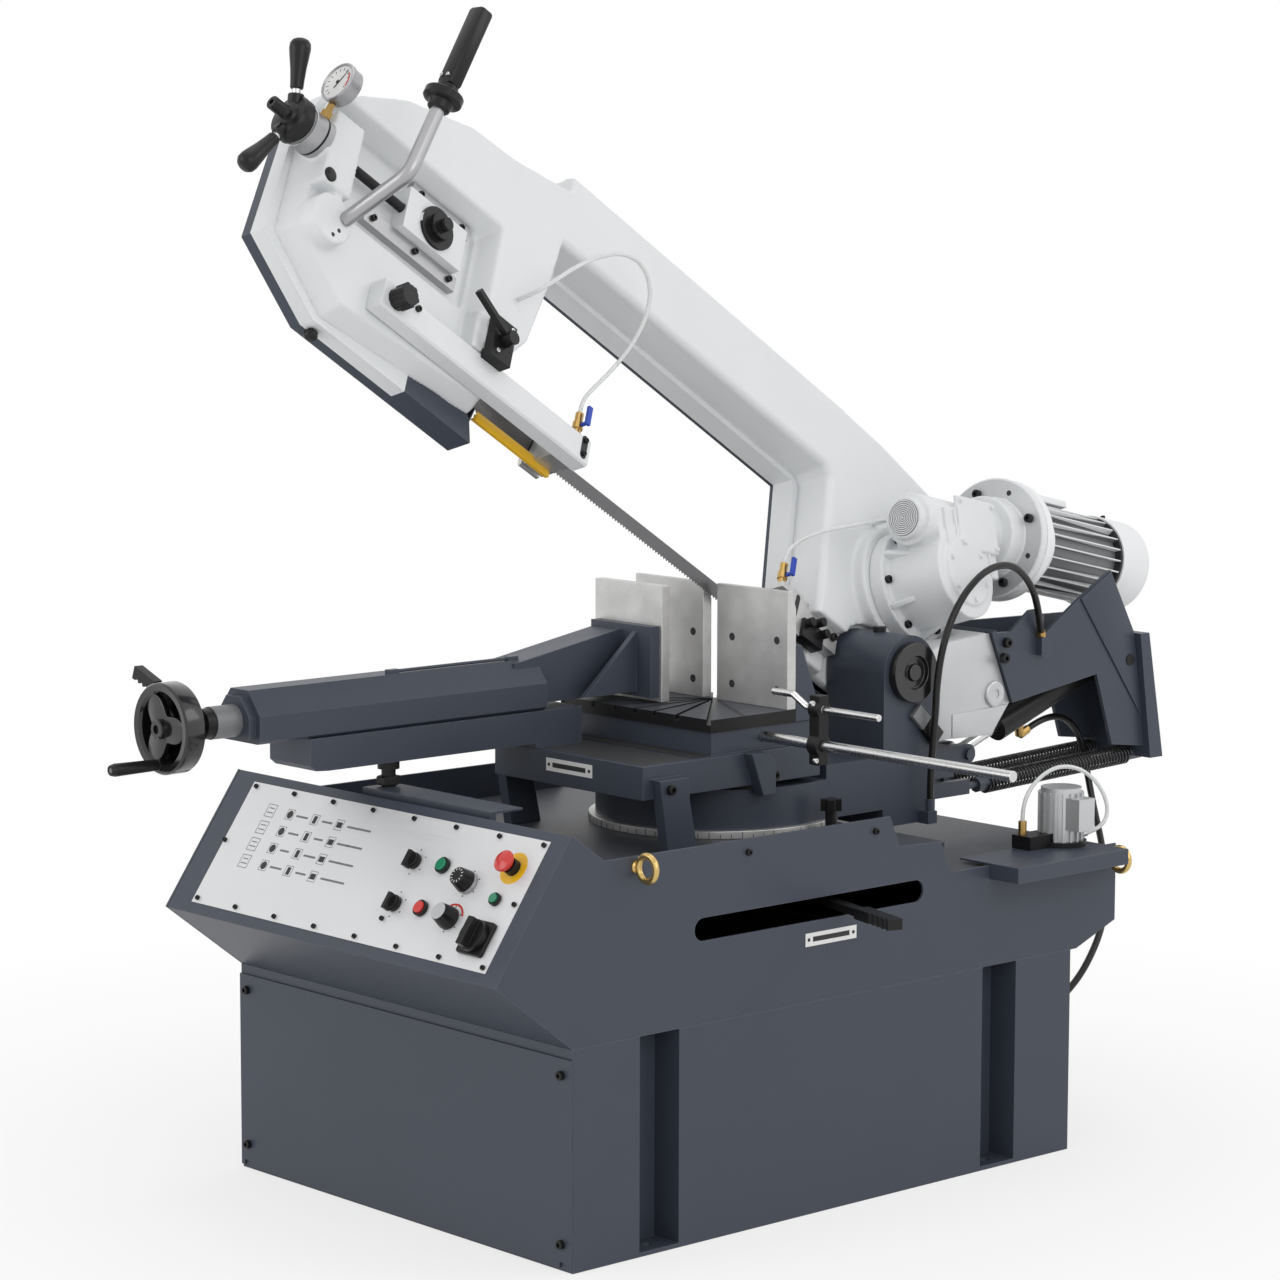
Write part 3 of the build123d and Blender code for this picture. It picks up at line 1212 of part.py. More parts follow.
def make_springs():
    pitch = spring_way().length / spring_turns
    print("spring: least gap to itself", round(coil_gap(pitch), 2))
    edges = []
    start = coil_point(0, pitch)
    start_way = coil_tangent(0, pitch)
    edges.append(Line(start - start_way * spring_wire, start))
    for i in range(2 * spring_turns):
        ends = (pi * i, pi * (i + 1))
        edges += biarc(
            coil_point(ends[0], pitch), coil_tangent(ends[0], pitch),
            coil_point(ends[1], pitch), coil_tangent(ends[1], pitch),
        )
    last_angle = 2 * pi * spring_turns
    end = coil_point(last_angle, pitch)
    edges.append(Line(end, end + coil_tangent(last_angle, pitch) * spring_wire))
    path = Wire(edges)
    section = Plane(origin=path @ 0, z_dir=path % 0) * RegularPolygon(spring_wire / 2, 3)
    wire = sweep(section, path=path)
    springs = []
    for x in spring_x:
        place = Plane(origin=(x, *spring_front), x_dir=spring_way(), z_dir=(1, 0, 0))
        springs.append(place.location * wire)
    nodes["counter_springs"] = Compound(springs)


# Hoses as tubes on straight runs joined by arcs as large as the runs allow
def hose(name, route, diameter):
    points = [Vector(*point) for point in route]
    radii = []
    for back, here, ahead in zip(points, points[1:], points[2:]):
        into, out = here - back, ahead - here
        shorter = min(into.length, out.length)
        radii.append(0.45 * shorter / tan(radians(into.get_angle(out)) / 2))
    path = FilletPolyline(*points, radius=radii)
    tube = sweep(Plane(origin=path @ 0, z_dir=path % 0) * RegularPolygon(diameter / 2, 6), path=path)
    section = 1.5 * sqrt(3) * (diameter / 2) ** 2
    print(name, "least radius", round(min(radii)), "volume ratio", round(tube.volume / (section * path.length), 3))
    return tube


def make_hoses():
    front = hose("front coolant hose", front_route, coolant_hose)
    rear = hose("rear coolant hose", rear_route, coolant_hose)
    nodes["coolant_hoses"] = Compound([on_bow(front), on_bow(rear)])
    loop = hose("loop hose", loop_route, pressure_hose)
    lift = hose("lift hose", lift_route, pressure_hose)
    nodes["hydraulic_hose"] = Compound([loop, lift])
    nodes["pump_hose"] = hose("pump hose", pump_route, coolant_hose)


def write_parts():
    for name, shape in nodes.items():
        export_step(shape, "parts/" + name + ".step")


make_cabinet()
make_body()
make_panel()
make_eyes()
make_pump()
make_turntable()
make_arm()
make_table()
make_support()
make_vise()
make_stop()
make_lock_lever()
make_casting()
make_cover()
make_pivot_shaft()
make_wheels()
make_blade()
make_tension()
make_handle()
make_guides()
make_drive()
make_lift()
make_springs()
make_hoses()
write_parts()
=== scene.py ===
import json
from math import asin, cos, hypot, pi, radians, sin, tau

import bmesh
import bpy
from mathutils import Matrix, Vector


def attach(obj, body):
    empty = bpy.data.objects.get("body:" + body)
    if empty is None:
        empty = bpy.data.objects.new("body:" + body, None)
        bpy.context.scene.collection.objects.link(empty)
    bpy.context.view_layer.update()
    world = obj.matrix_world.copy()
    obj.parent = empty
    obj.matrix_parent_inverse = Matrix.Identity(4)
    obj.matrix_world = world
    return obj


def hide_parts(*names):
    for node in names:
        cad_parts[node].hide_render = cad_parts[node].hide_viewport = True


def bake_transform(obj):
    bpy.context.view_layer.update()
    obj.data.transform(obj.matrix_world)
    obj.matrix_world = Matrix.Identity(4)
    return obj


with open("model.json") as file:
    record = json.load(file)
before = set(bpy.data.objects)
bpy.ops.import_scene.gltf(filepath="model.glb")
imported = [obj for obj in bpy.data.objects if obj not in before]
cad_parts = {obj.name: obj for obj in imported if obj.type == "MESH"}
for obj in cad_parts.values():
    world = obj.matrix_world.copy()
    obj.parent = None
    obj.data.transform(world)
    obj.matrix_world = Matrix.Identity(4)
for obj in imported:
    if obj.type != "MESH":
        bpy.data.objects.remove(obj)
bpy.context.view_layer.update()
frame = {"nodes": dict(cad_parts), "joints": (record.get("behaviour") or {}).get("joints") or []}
scene = bpy.context.scene
nodes = frame["nodes"]
joints = {joint["name"]: joint for joint in frame["joints"]}

# Local frames, in millimetres: the row frame; the side (y, z, x); the front (x, z, -y); the bow (a along the
# blade, b across it, c along the wheel axles); the panel (x to the right, s up the slope, h out of it); the
# worm housing (x towards the motor, z out of the gearbox); and the swivel (the row frame about its axis).
MM = 0.001
X_WAY, Y_WAY, OUT = Vector((1, 0, 0)), Vector((0, 1, 0)), Vector((0, 0, 1))
IDLER_A, DRIVE_A, WHEEL = -700, 641, 188
DRIVE_WHEEL = (DRIVE_A, WHEEL, 0)
MODE, PUMP, SPEED, FEED = (130, 41), (134, -42), (288, 23), (286, -46)
WORM_PLACE, WORM_ANGLE = (600.2, 286.9, 230), 22.4


def local_frame(x_way, y_way, z_way, known_point=(0, 0, 0), known_place=(0, 0, 0)):
    """Matrix from local millimetres to the row frame, from its axes and one point known in both."""
    axes = Matrix((x_way, y_way, z_way)).transposed() * MM
    origin = Vector(known_point) - axes @ Vector(known_place)
    return Matrix.Translation(origin) @ axes.to_4x4()


def moved(place, spot, turn=0):
    """Local frame moved to a spot of its own and turned about its z axis, in degrees."""
    return place @ Matrix.Translation(spot) @ Matrix.Rotation(radians(turn), 4, "Z")


bow_u = Vector(joints["guide_reach"]["axis"])
bow_w = Vector(joints["drive_spin"]["axis"])
panel_out = -Vector(joints["start_press"]["axis"])
ROW = Matrix.Scale(MM, 4)
SIDE = local_frame(Y_WAY, OUT, X_WAY)
FRONT = local_frame(X_WAY, OUT, -Y_WAY)
BOW = local_frame(bow_u, bow_w.cross(bow_u), bow_w, joints["drive_spin"]["pos_m"], DRIVE_WHEEL)
PANEL = local_frame(X_WAY, panel_out.cross(X_WAY), panel_out, joints["mode_turn"]["pos_m"], (*MODE, 0))
WORM = moved(BOW, WORM_PLACE, WORM_ANGLE)
SWIVEL = moved(ROW, Vector(joints["swivel"]["pos_m"]).xy.to_3d() / MM)


def add_object(name, data):
    made = bpy.data.objects.new(name, data)
    scene.collection.objects.link(made)
    return made


# Finishes
def set_inputs(tree, node, inputs):
    """Inputs of a shader node, each a value or another node's output."""
    for key, value in inputs.items():
        if isinstance(value, bpy.types.NodeSocket):
            tree.links.new(value, node.inputs[key])
        else:
            node.inputs[key].default_value = value


def add_node(tree, kind, inputs=(), **settings):
    node = tree.nodes.new("ShaderNode" + kind)
    for key, value in settings.items():
        setattr(node, key, value)
    set_inputs(tree, node, dict(inputs))
    return node


def math_node(tree, operation, first, second):
    return add_node(tree, "Math", {0: first, 1: second}, operation=operation).outputs[0]


def noise(tree, scale, stretch=(1, 1, 1), detail=3.0):
    place = add_node(tree, "TexCoord").outputs["Object"]
    mapped = add_node(tree, "Mapping", {"Vector": place, "Scale": stretch}).outputs["Vector"]
    return add_node(tree, "TexNoise", {"Vector": mapped, "Scale": scale, "Detail": detail}).outputs["Fac"]


# Sockets of a mix node that hold colours
MIX_FIRST, MIX_SECOND, MIX_RESULT = 6, 7, 2


def blend_colours(tree, share, first, second):
    colours = {"Factor": share, MIX_FIRST: first, MIX_SECOND: second}
    return add_node(tree, "Mix", colours, data_type="RGBA").outputs[MIX_RESULT]


def edge_mask(tree, radius):
    """Share of wear at edges, from the difference between rounded and true normals."""
    rounded = add_node(tree, "Bevel", {"Radius": radius}, samples=4)
    surface = add_node(tree, "NewGeometry")
    normals = {0: rounded.outputs["Normal"], 1: surface.outputs["Normal"]}
    alike = add_node(tree, "VectorMath", normals, operation="DOT_PRODUCT").outputs["Value"]
    return add_node(tree, "MapRange", {"Value": alike, "From Min": 0.985, "From Max": 0.8}).outputs["Result"]


WEAR_RADIUS, WEAR_GRAIN = 0.0022, 60
GLOSS_SWING = 0.3


def finish(name, colour, rough, metal=0.0, grain=900, bump=0.05, depth=0.0003, vary=0.12, patch=9,
           stretch=(1, 1, 1), edge=None, coat=0.0, transmission=0.0, shine=0.5):
    """Material with mottled colour and gloss, a fine surface grain and, where asked, worn edges."""
    made = bpy.data.materials.new(name)
    made.use_nodes = True
    tree = made.node_tree
    darker = [channel * (1 - vary) for channel in colour]
    lighter = [min(1.0, channel * (1 + vary)) for channel in colour]
    tint = blend_colours(tree, noise(tree, patch, stretch), (*darker, 1), (*lighter, 1))
    if edge:
        worn = math_node(tree, "MULTIPLY", edge_mask(tree, WEAR_RADIUS), noise(tree, WEAR_GRAIN))
        tint = blend_colours(tree, worn, tint, (*edge, 1))
    fine = noise(tree, grain, stretch, detail=2.0)
    gloss = math_node(tree, "MULTIPLY", math_node(tree, "SUBTRACT", fine, 0.5), GLOSS_SWING)
    relief = add_node(tree, "Bump", {"Strength": bump, "Distance": depth, "Height": fine})
    set_inputs(tree, tree.nodes["Principled BSDF"], {
        "Base Color": tint, "Roughness": math_node(tree, "ADD", gloss, rough), "Metallic": metal,
        "Coat Weight": coat, "Specular IOR Level": shine, "Transmission Weight": transmission,
        "Normal": relief.outputs["Normal"],
    })
    return made


slate = finish("slate_paint", (0.046, 0.056, 0.077), 0.42, shine=0.38, bump=0.12, vary=0.06,
               edge=(0.16, 0.17, 0.19))
white = finish("white_cast_paint", (0.72, 0.735, 0.745), 0.45, grain=420, bump=0.35, depth=0.0006, vary=0.03,
               edge=(0.8, 0.81, 0.82))
alloy = finish("cast_alloy", (0.56, 0.57, 0.58), 0.38, metal=0.55, grain=500, bump=0.3, vary=0.08)
motor_paint = finish("motor_paint", (0.8, 0.81, 0.82), 0.42, metal=0.15, grain=500, bump=0.3, vary=0.05)
tray_grey = finish("tray_grey", (0.060, 0.066, 0.078), 0.46, shine=0.25, bump=0.1, vary=0.08)
# Mid grey of the vise collar and the limit switch head, also painted shade on the motor's fin roots and the
# vent's well
mid_grey_and_shade = finish("mid_grey_and_shade", (0.20, 0.205, 0.21), 0.5, metal=0.3, grain=500, bump=0.2)
black_paint = finish("black_paint", (0.01, 0.01, 0.011), 0.38, shine=0.25, grain=700, bump=0.12,
                     edge=(0.05, 0.05, 0.055))
black_plastic = finish("black_plastic", (0.01, 0.01, 0.011), 0.32, shine=0.28, bump=0.1)
rubber = finish("hose_rubber", (0.01, 0.01, 0.01), 0.22, shine=0.32, grain=1200, bump=0.08)
gloss_black = finish("gloss_black", (0.01, 0.01, 0.011), 0.2, grain=700, coat=0.3)
spring_wire = finish("spring_wire", (0.05, 0.05, 0.053), 0.26, metal=0.6)
ground = finish("ground_steel", (0.56, 0.557, 0.55), 0.42, metal=0.75, grain=260, bump=0.2, vary=0.22,
                patch=26, edge=(0.75, 0.75, 0.74))
dark_steel = finish("dark_steel", (0.16, 0.16, 0.165), 0.36, metal=0.85, grain=300, bump=0.2)
bright = finish("bright_steel", (0.66, 0.66, 0.66), 0.24, metal=1.0, grain=500, bump=0.06, vary=0.05)
satin = finish("satin_tube", (0.42, 0.42, 0.43), 0.38, metal=0.9, grain=700, bump=0.15, vary=0.05)
panel_steel = finish("panel_steel", (0.70, 0.705, 0.715), 0.46, metal=0.35, grain=300, bump=0.08,
                     vary=0.03, stretch=(0.05, 1, 1))
gold = finish("yellow_zinc", (0.62, 0.44, 0.17), 0.28, metal=0.95, grain=500, bump=0.08, vary=0.15)
brass = finish("brass", (0.50, 0.32, 0.11), 0.3, metal=1.0, grain=500, bump=0.06, vary=0.1)
green = finish("green_plastic", (0.006, 0.22, 0.10), 0.25, bump=0.04, coat=0.4)
red = finish("red_plastic", (0.58, 0.018, 0.012), 0.27, bump=0.04, coat=0.4)
grey_plastic = finish("grey_plastic", (0.46, 0.47, 0.48), 0.4)
blue = finish("blue_plastic", (0.006, 0.05, 0.42), 0.34)
yellow = finish("yellow_paint", (0.80, 0.46, 0.012), 0.36, grain=700, bump=0.08, vary=0.05)
clear = finish("clear_tube", (0.86, 0.87, 0.87), 0.18, bump=0.03, vary=0.02, transmission=0.35)
# Black of print and marks; as dark discs, strips and rings it is also painted shade for holes, slots and gaps
ink_and_shade = finish("black_ink_and_shade", (0.018, 0.018, 0.02), 0.6, bump=0.02)
print_grey = finish("print_grey", (0.17, 0.17, 0.18), 0.6, bump=0.02)
pale = finish("pale_plate", (0.80, 0.80, 0.79), 0.45, bump=0.03, vary=0.02)


# Camera and studio
def set_camera():
    """Camera fitted to the photograph, with its focal length in pixels."""
    place = (5.2743, -4.8011, 1.8914)
    azimuth, pitch, roll = 48.015, 7.187, -0.12
    focal_pixels, frame_pixels = 3843.56, 1280
    camera = add_object("camera", bpy.data.cameras.new("camera"))
    camera.location = place
    camera.rotation_euler = (radians(90 - pitch), radians(roll), radians(azimuth))
    camera.data.sensor_width = 36
    camera.data.lens = focal_pixels / frame_pixels * camera.data.sensor_width
    scene.camera = camera


# Lamps: name, place, target, size, power
LAMPS = (
    ("key", (5.5, -1.5, 3.4), (0, 0, 0.9), 3.5, 62),
    ("fill", (-2.0, -5.8, 2.8), (0, 0, 0.9), 3.5, 64),
    ("rim", (3.8, 3.6, 4.0), (0, 0.3, 1.0), 2.5, 36),
    ("top", (0, 0, 5.5), (0, 0, 0), 3.5, 28),
)
AMBIENT = 0.72
FLOOR_REACH, FLOOR_DROP, FLOOR_SHADE = 40, 0.0005, 0.86
# Distances between which the floor fades to plain white, and its share of white at each
FLOOR_WHITE = {"From Min": 0.9, "From Max": 2.4, "To Min": 0.7, "To Max": 1.0}


def studio_white(tree, lit, kind, output, share=1.0):
    """Mixes a lit shader with a share of plain white for camera, glossy and transmitted rays."""
    rays = add_node(tree, "LightPath").outputs
    seen = math_node(tree, "MAXIMUM", rays["Is Camera Ray"], rays["Is Glossy Ray"])
    seen = math_node(tree, "MAXIMUM", seen, rays["Is Transmission Ray"])
    glow = add_node(tree, kind, {"Color": (1, 1, 1, 1)})
    parts = {0: math_node(tree, "MULTIPLY", seen, share), 1: lit.outputs[0], 2: glow.outputs[0]}
    mixed = add_node(tree, "MixShader", parts)
    set_inputs(tree, tree.nodes[output], {"Surface": mixed.outputs[0]})


def set_studio():
    scene.view_settings.view_transform = "Standard"
    world = bpy.data.worlds.new("studio")
    world.use_nodes = True
    scene.world = world
    tree = world.node_tree
    ambient = tree.nodes["Background"]
    set_inputs(tree, ambient, {"Color": (1, 1, 1, 1), "Strength": AMBIENT})
    studio_white(tree, ambient, "Background", "World Output")
    for name, place, target, size, power in LAMPS:
        data = bpy.data.lights.new(name, "AREA")
        data.size = size
        data.energy = power
        light = add_object(name, data)
        light.location = place
        light.rotation_euler = (Vector(target) - Vector(place)).to_track_quat("-Z", "Y").to_euler()
    make_floor()


def make_floor():
    """Pale floor that keeps the part's shadow and fades to plain white around it."""
    floor = add_object("floor", bpy.data.meshes.new("floor"))
    reach = FLOOR_REACH
    corners = [(-reach, -reach, 0), (reach, -reach, 0), (reach, reach, 0), (-reach, reach, 0)]
    floor.data.from_pydata(corners, [], [(0, 1, 2, 3)])
    floor.location.z = -FLOOR_DROP
    surface = bpy.data.materials.new("floor")
    surface.use_nodes = True
    tree = surface.node_tree
    lit = add_node(tree, "BsdfDiffuse", {"Color": (FLOOR_SHADE, FLOOR_SHADE, FLOOR_SHADE, 1)})
    place = add_node(tree, "NewGeometry").outputs["Position"]
    away = add_node(tree, "VectorMath", {0: place}, operation="LENGTH").outputs["Value"]
    fade = add_node(tree, "MapRange", {"Value": away, **FLOOR_WHITE}).outputs["Result"]
    studio_white(tree, lit, "Emission", "Material Output", fade)
    floor.data.materials.append(surface)


# Castings: width of a voxel in millimetres, and passes of smoothing
CAST_NODES = {"bow_casting": (4.0, 5), "gearbox": (3.0, 3)}
SHARP, CREASE = radians(28), radians(32)


def modify(node, kind, **settings):
    made = node.modifiers.new(kind.lower(), kind)
    for key, value in settings.items():
        setattr(made, key, value)


def finish_node(node, material):
    node.data.materials.clear()
    node.data.materials.append(material)
    node.data.shade_smooth()
    modify(node, "WELD", merge_threshold=0.00002)


def round_edges(material, **widths):
    """Finish of machined and sheet parts, with edges rounded by a width in millimetres."""
    for name, width in widths.items():
        node = nodes[name]
        finish_node(node, material)
        modify(node, "DECIMATE", decimate_type="DISSOLVE", angle_limit=radians(1), delimit={"MATERIAL"})
        modify(node, "BEVEL", width=width * MM, segments=2, limit_method="ANGLE", angle_limit=SHARP,
               harden_normals=True)
        modify(node, "WEIGHTED_NORMAL", keep_sharp=True)


def finish_nodes():
    """Finishes of the CAD nodes that show; the castings get softened voxel skins."""
    round_edges(slate, cabinet=1.5, front_cover=1, side_plates=1.2, console_housing=2.5, pump_shelf=1.5,
                vise_bed=2, vise_support=2, vise_beam=3, swivel_arm=4, wheel_cover=1, tail_bracket=1.5)
    round_edges(black_plastic, control_bezels=1, mode_selector=1.2, pump_selector=1.2, speed_dial=1.5,
                main_switch=2, index_knob=1.5, crank_grip=2, guide_clamp_lever=2)
    round_edges(black_paint, work_table=1, swivel_lock_lever=1.5, stop_clamp=1.5, vise_lock_lever=1.5,
                cylinder_barrel=2)
    round_edges(ground, turntable_base=1.5, fixed_jaws=1.5, moving_jaw=1.5, rear_guide=1, guide_block=1)
    round_edges(white, tension_slide=2, guide_arm=1)
    round_edges(bright, stop_rail=1, cylinder_rod=1)
    round_edges(dark_steel, drive_wheel=1, idler_wheel=1)
    round_edges(green, start_button=1.2, reset_button=1)
    round_edges(red, stop_button=1.2, emergency_stop=2)
    round_edges(blue, front_tap_lever=1, rear_tap_lever=1)
    round_edges(tray_grey, tray_floor=1.5)
    round_edges(panel_steel, panel_plate=0.5)
    round_edges(alloy, coolant_pump=0.8)
    round_edges(motor_paint, drive_motor=1)
    round_edges(grey_plastic, feed_dial=1.5)
    round_edges(gloss_black, pivot_shaft=2)
    round_edges(satin, head_plates=0.8)
    for name, (voxel, passes) in CAST_NODES.items():
        node = nodes[name]
        finish_node(node, white)
        modify(node, "REMESH", mode="VOXEL", voxel_size=voxel * MM, use_smooth_shade=True)
        modify(node, "SMOOTH", factor=0.5, iterations=passes)
        modify(node, "DECIMATE", ratio=0.45)


TABLE_TOP = 870


def paint(name, material, test, place=ROW):
    """Second finish on the faces of a CAD node whose middles, in a local frame, pass a test."""
    mesh = nodes[name].data
    mesh.materials.append(material)
    back = place.inverted()
    for face in mesh.polygons:
        if test(*(back @ face.center)):
            face.material_index = len(mesh.materials) - 1


def paint_nodes():
    """Second finishes; the last is below the lift cylinder's barrel, which rises 154 in 428."""
    paint("guide_arm", black_plastic, lambda a, b, c: c > 100.2 and a < -740, BOW)
    paint("guide_arm", brass, lambda a, b, c: b > 12.2, BOW)
    paint("head_plates", black_paint, lambda a, b, c: a > -560 and b < 100, BOW)
    paint("guide_block", yellow, lambda a, b, c: b < -34.1, BOW)
    paint("rear_guide", brass, lambda a, b, c: b > 52.2, BOW)
    paint("tension_slide", black_plastic, lambda a, b, c: c > 84.6 and abs(a - IDLER_A) < 39, BOW)
    paint("swivel_arm", black_paint, lambda x, y, z: z > 984.5)
    paint("tail_bracket", black_paint, lambda x, y, z: x > 203.2 and 1000 < y < 1100)
    paint("tail_bracket", brass, lambda x, y, z: x > 203.2 and y < 860 and z > 950.2)
    paint("stop_clamp", bright, lambda x, y, z: x < 337.5 or x > 364.5)
    paint("vise_beam", mid_grey_and_shade, lambda x, y, z: y < -890)
    paint("vise_support", black_paint, lambda x, y, z: -119 < x < -75 and -594 < y < -550 and z < 812)
    # Painted shade: the motor's core between its fins is darker, where the fins shade it
    paint("drive_motor", mid_grey_and_shade, lambda x, y, z: 240 < x < 539 and hypot(y, z) < 84, WORM)
    paint("work_table", tray_grey, lambda x, y, z: z > TABLE_TOP - 0.5)
    paint("feed_dial", black_plastic, lambda x, s, h: h < 33, PANEL)
    paint("speed_dial", satin, lambda x, s, h: h < 10, PANEL)
    paint("vise_beam", bright, lambda x, y, z: z > 973 and -540 < y < -270)
    paint("coolant_pump", black_paint, lambda x, y, z: z < 596)
    paint("coolant_pump", black_paint, lambda x, y, z: z < 612.5 and y < 612 and abs(x - 414) < 26)
    paint("coolant_pump", brass, lambda x, y, z: z > 612.5 and y < 580)
    paint("cylinder_barrel", brass, lambda x, y, z: z < 847 + 154 / 428 * (y - 1096) and y < 960)


# Pieces made here
def piece(name, mesh, material, body, node=None, ends=()):
    """Piece that rides one body; given two ends, it is left unattached with its mesh in the row frame."""
    made = add_object(name, mesh)
    mesh.materials.clear()
    mesh.materials.append(material)
    if ends:
        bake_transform(made)
    else:
        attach(made, body)
    if node:
        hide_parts(node)
    return made


def span(middle, width):
    return middle - width / 2, middle + width / 2


def circle(radius, angles, middle=(0, 0)):
    """Points (x, y) on a circle, at angles in degrees."""
    turns = [radians(angle) for angle in angles]
    return [(middle[0] + radius * cos(turn), middle[1] + radius * sin(turn)) for turn in turns]


def offset_line(line, distance):
    """Points of an open line moved to its right, with mitred corners."""
    points = [Vector(point) for point in line]
    ways = [(end - start).normalized() for start, end in zip(points, points[1:])]
    sides = [Vector((way.y, -way.x)) for way in ways]
    shifted = []
    for point, before, after in zip(points, sides[:1] + sides, sides + sides[-1:]):
        shifted.append(tuple(point + (before + after) * (distance / (1 + before.dot(after)))))
    return shifted


class Shape:
    """Mesh built from simple solids in one local frame; each call gives the shape back."""

    def __init__(self, place):
        self.place = place
        self.mesh = bmesh.new()

    def box(self, x, y, z):
        size = Matrix.Diagonal((x[1] - x[0], y[1] - y[0], z[1] - z[0], 1))
        middle = Matrix.Translation(((x[0] + x[1]) / 2, (y[0] + y[1]) / 2, (z[0] + z[1]) / 2))
        bmesh.ops.create_cube(self.mesh, size=1, matrix=middle @ size)
        return self

    def lathe(self, start, way, profile, sides=28, ring=False):
        """Turns (radius, distance) points about an axis; radius 0 closes an end, a ring closes itself."""
        tilt = Vector(way).normalized().to_track_quat("Z", "Y").to_matrix().to_4x4()
        place = Matrix.Translation(start) @ tilt
        rings = []
        for radius, height in profile:
            points = circle(radius, [360 * i / sides for i in range(sides if radius else 1)])
            rings.append([self.mesh.verts.new(place @ Vector((*point, height))) for point in points])
        if ring:
            rings.append(rings[0])
        for low, high in zip(rings, rings[1:]):
            for i in range(sides):
                j = i + 1
                corners = (low[i % len(low)], low[j % len(low)], high[j % len(high)], high[i % len(high)])
                unique = list(dict.fromkeys(corners))
                if len(unique) > 2:
                    self.mesh.faces.new(unique)
        return self

    def drum(self, start, way, radius, low, high, sides=28):
        return self.lathe(start, way, [(0, low), (radius, low), (radius, high), (0, high)], sides)

    def collar(self, start, way, inner, outer, low, high, sides=48):
        profile = [(inner, low), (outer, low), (outer, high), (inner, high)]
        return self.lathe(start, way, profile, sides, ring=True)

    def disc(self, middle, way, radius, height=0.25, sides=28):
        """Flat round mark standing a little out of a face."""
        return self.drum(middle, way, radius, -0.4, height, sides)

    def rod(self, start, end, radius, chamfer=0.5, sides=24):
        way = Vector(end) - Vector(start)
        length = way.length
        neck, shoulder = radius - chamfer, length - chamfer
        profile = [(0, 0), (neck, 0), (radius, chamfer), (radius, shoulder), (neck, length), (0, length)]
        return self.lathe(start, way, profile, sides)

    def screw(self, start, way, radius, sides=16):
        """Socket-head screw standing on a surface."""
        height = 1.1 * radius
        profile = [
            (0, 0.45 * height), (0.5 * radius, 0.45 * height), (0.5 * radius, height),
            (0.86 * radius, height), (radius, 0.86 * height), (radius, -0.4), (0, -0.4),
        ]
        return self.lathe(start, way, profile, sides)

    def torus(self, middle, way, radius, wire, sides=40, around=14):
        profile = circle(wire, [360 * i / around for i in range(around)], (radius, 0))
        return self.lathe(middle, way, profile, sides, ring=True)

    def prism(self, outline, low, high):
        """Extrudes (x, y) points along the local z axis."""
        base = [self.mesh.verts.new((x, y, low)) for x, y in outline]
        top = [self.mesh.verts.new((x, y, high)) for x, y in outline]
        self.mesh.faces.new(base[::-1])
        self.mesh.faces.new(top)
        for i in range(len(base)):
            j = (i + 1) % len(base)
            self.mesh.faces.new((base[i], base[j], top[j], top[i]))
        return self

    def sector(self, inner, outer, start, end, low, high, steps=16):
        """Part of a flat ring about the local z axis, between two angles in degrees."""
        angles = [start + (end - start) * i / steps for i in range(steps + 1)]
        return self.prism(circle(outer, angles) + circle(inner, angles[::-1]), low, high)

    def strip(self, line, near, far, low, high):
        """Band between two offsets to the right of an open line of (x, y) points."""
        return self.prism(offset_line(line, far) + offset_line(line, near)[::-1], low, high)

    def done(self, name, material, body, slot=None, node=None, rounded=0.0, crease=CREASE, ends=()):
        bmesh.ops.recalc_face_normals(self.mesh, faces=self.mesh.faces)
        if rounded:
            sharp = [e for e in self.mesh.edges if e.is_manifold and e.calc_face_angle(0) > SHARP]
            bmesh.ops.bevel(self.mesh, geom=sharp, offset=rounded, segments=2, profile=0.5, affect="EDGES",
                            clamp_overlap=True)
        bmesh.ops.transform(self.mesh, matrix=self.place, verts=self.mesh.verts)
        made = bpy.data.meshes.new(name)
        self.mesh.to_mesh(made)
        self.mesh.free()
        made.shade_smooth()
        made.set_sharp_from_angle(angle=crease)
        piece(name, made, material, body, node, ends)


def screws(name, place, spots, radius, body, slot="black_plastic", material=black_paint, way=OUT):
    """Socket-head screws at places of a local frame."""
    made = Shape(place)
    for spot in spots:
        made.screw(spot, way, radius)
    made.done(name, material, body, slot)


def holes(name, place, spots, radius, body, way=OUT):
    """Dark round marks at places of a local frame; over holes they are painted shade."""
    made = Shape(place)
    for spot in spots:
        made.disc(spot, way, radius)
    made.done(name, ink_and_shade, body)


def cover_bolts(name, place, spots, radius=5):
    """Painted hexagon bolts with washers, on the gearbox."""
    made = Shape(place)
    head = [(0, 0.2), (1, 0.2), (1, 0.9), (0.88, 1), (0, 1)]
    for spot in spots:
        made.drum(spot, OUT, 1.45 * radius, -0.3, 0.25 * radius)
        made.lathe(spot, OUT, [(across * radius, height * radius) for across, height in head], sides=6)
    made.done(name, white, "bow", "cast_paint")


def oblong(name, place, start, end, radius, body):
    """Painted shade of a long hole: a dark mark drawn on a face that looks along the local z axis."""
    start, end = Vector(start), Vector(end)
    side = OUT.cross(end - start).normalized() * radius
    corners = [start - side, end - side, end + side, start + side]
    made = Shape(place).prism([corner.xy for corner in corners], start.z - 0.3, start.z + 0.3)
    for middle in (start, end):
        made.drum(middle, OUT, radius, -0.3, 0.35)
    made.done(name, ink_and_shade, body)


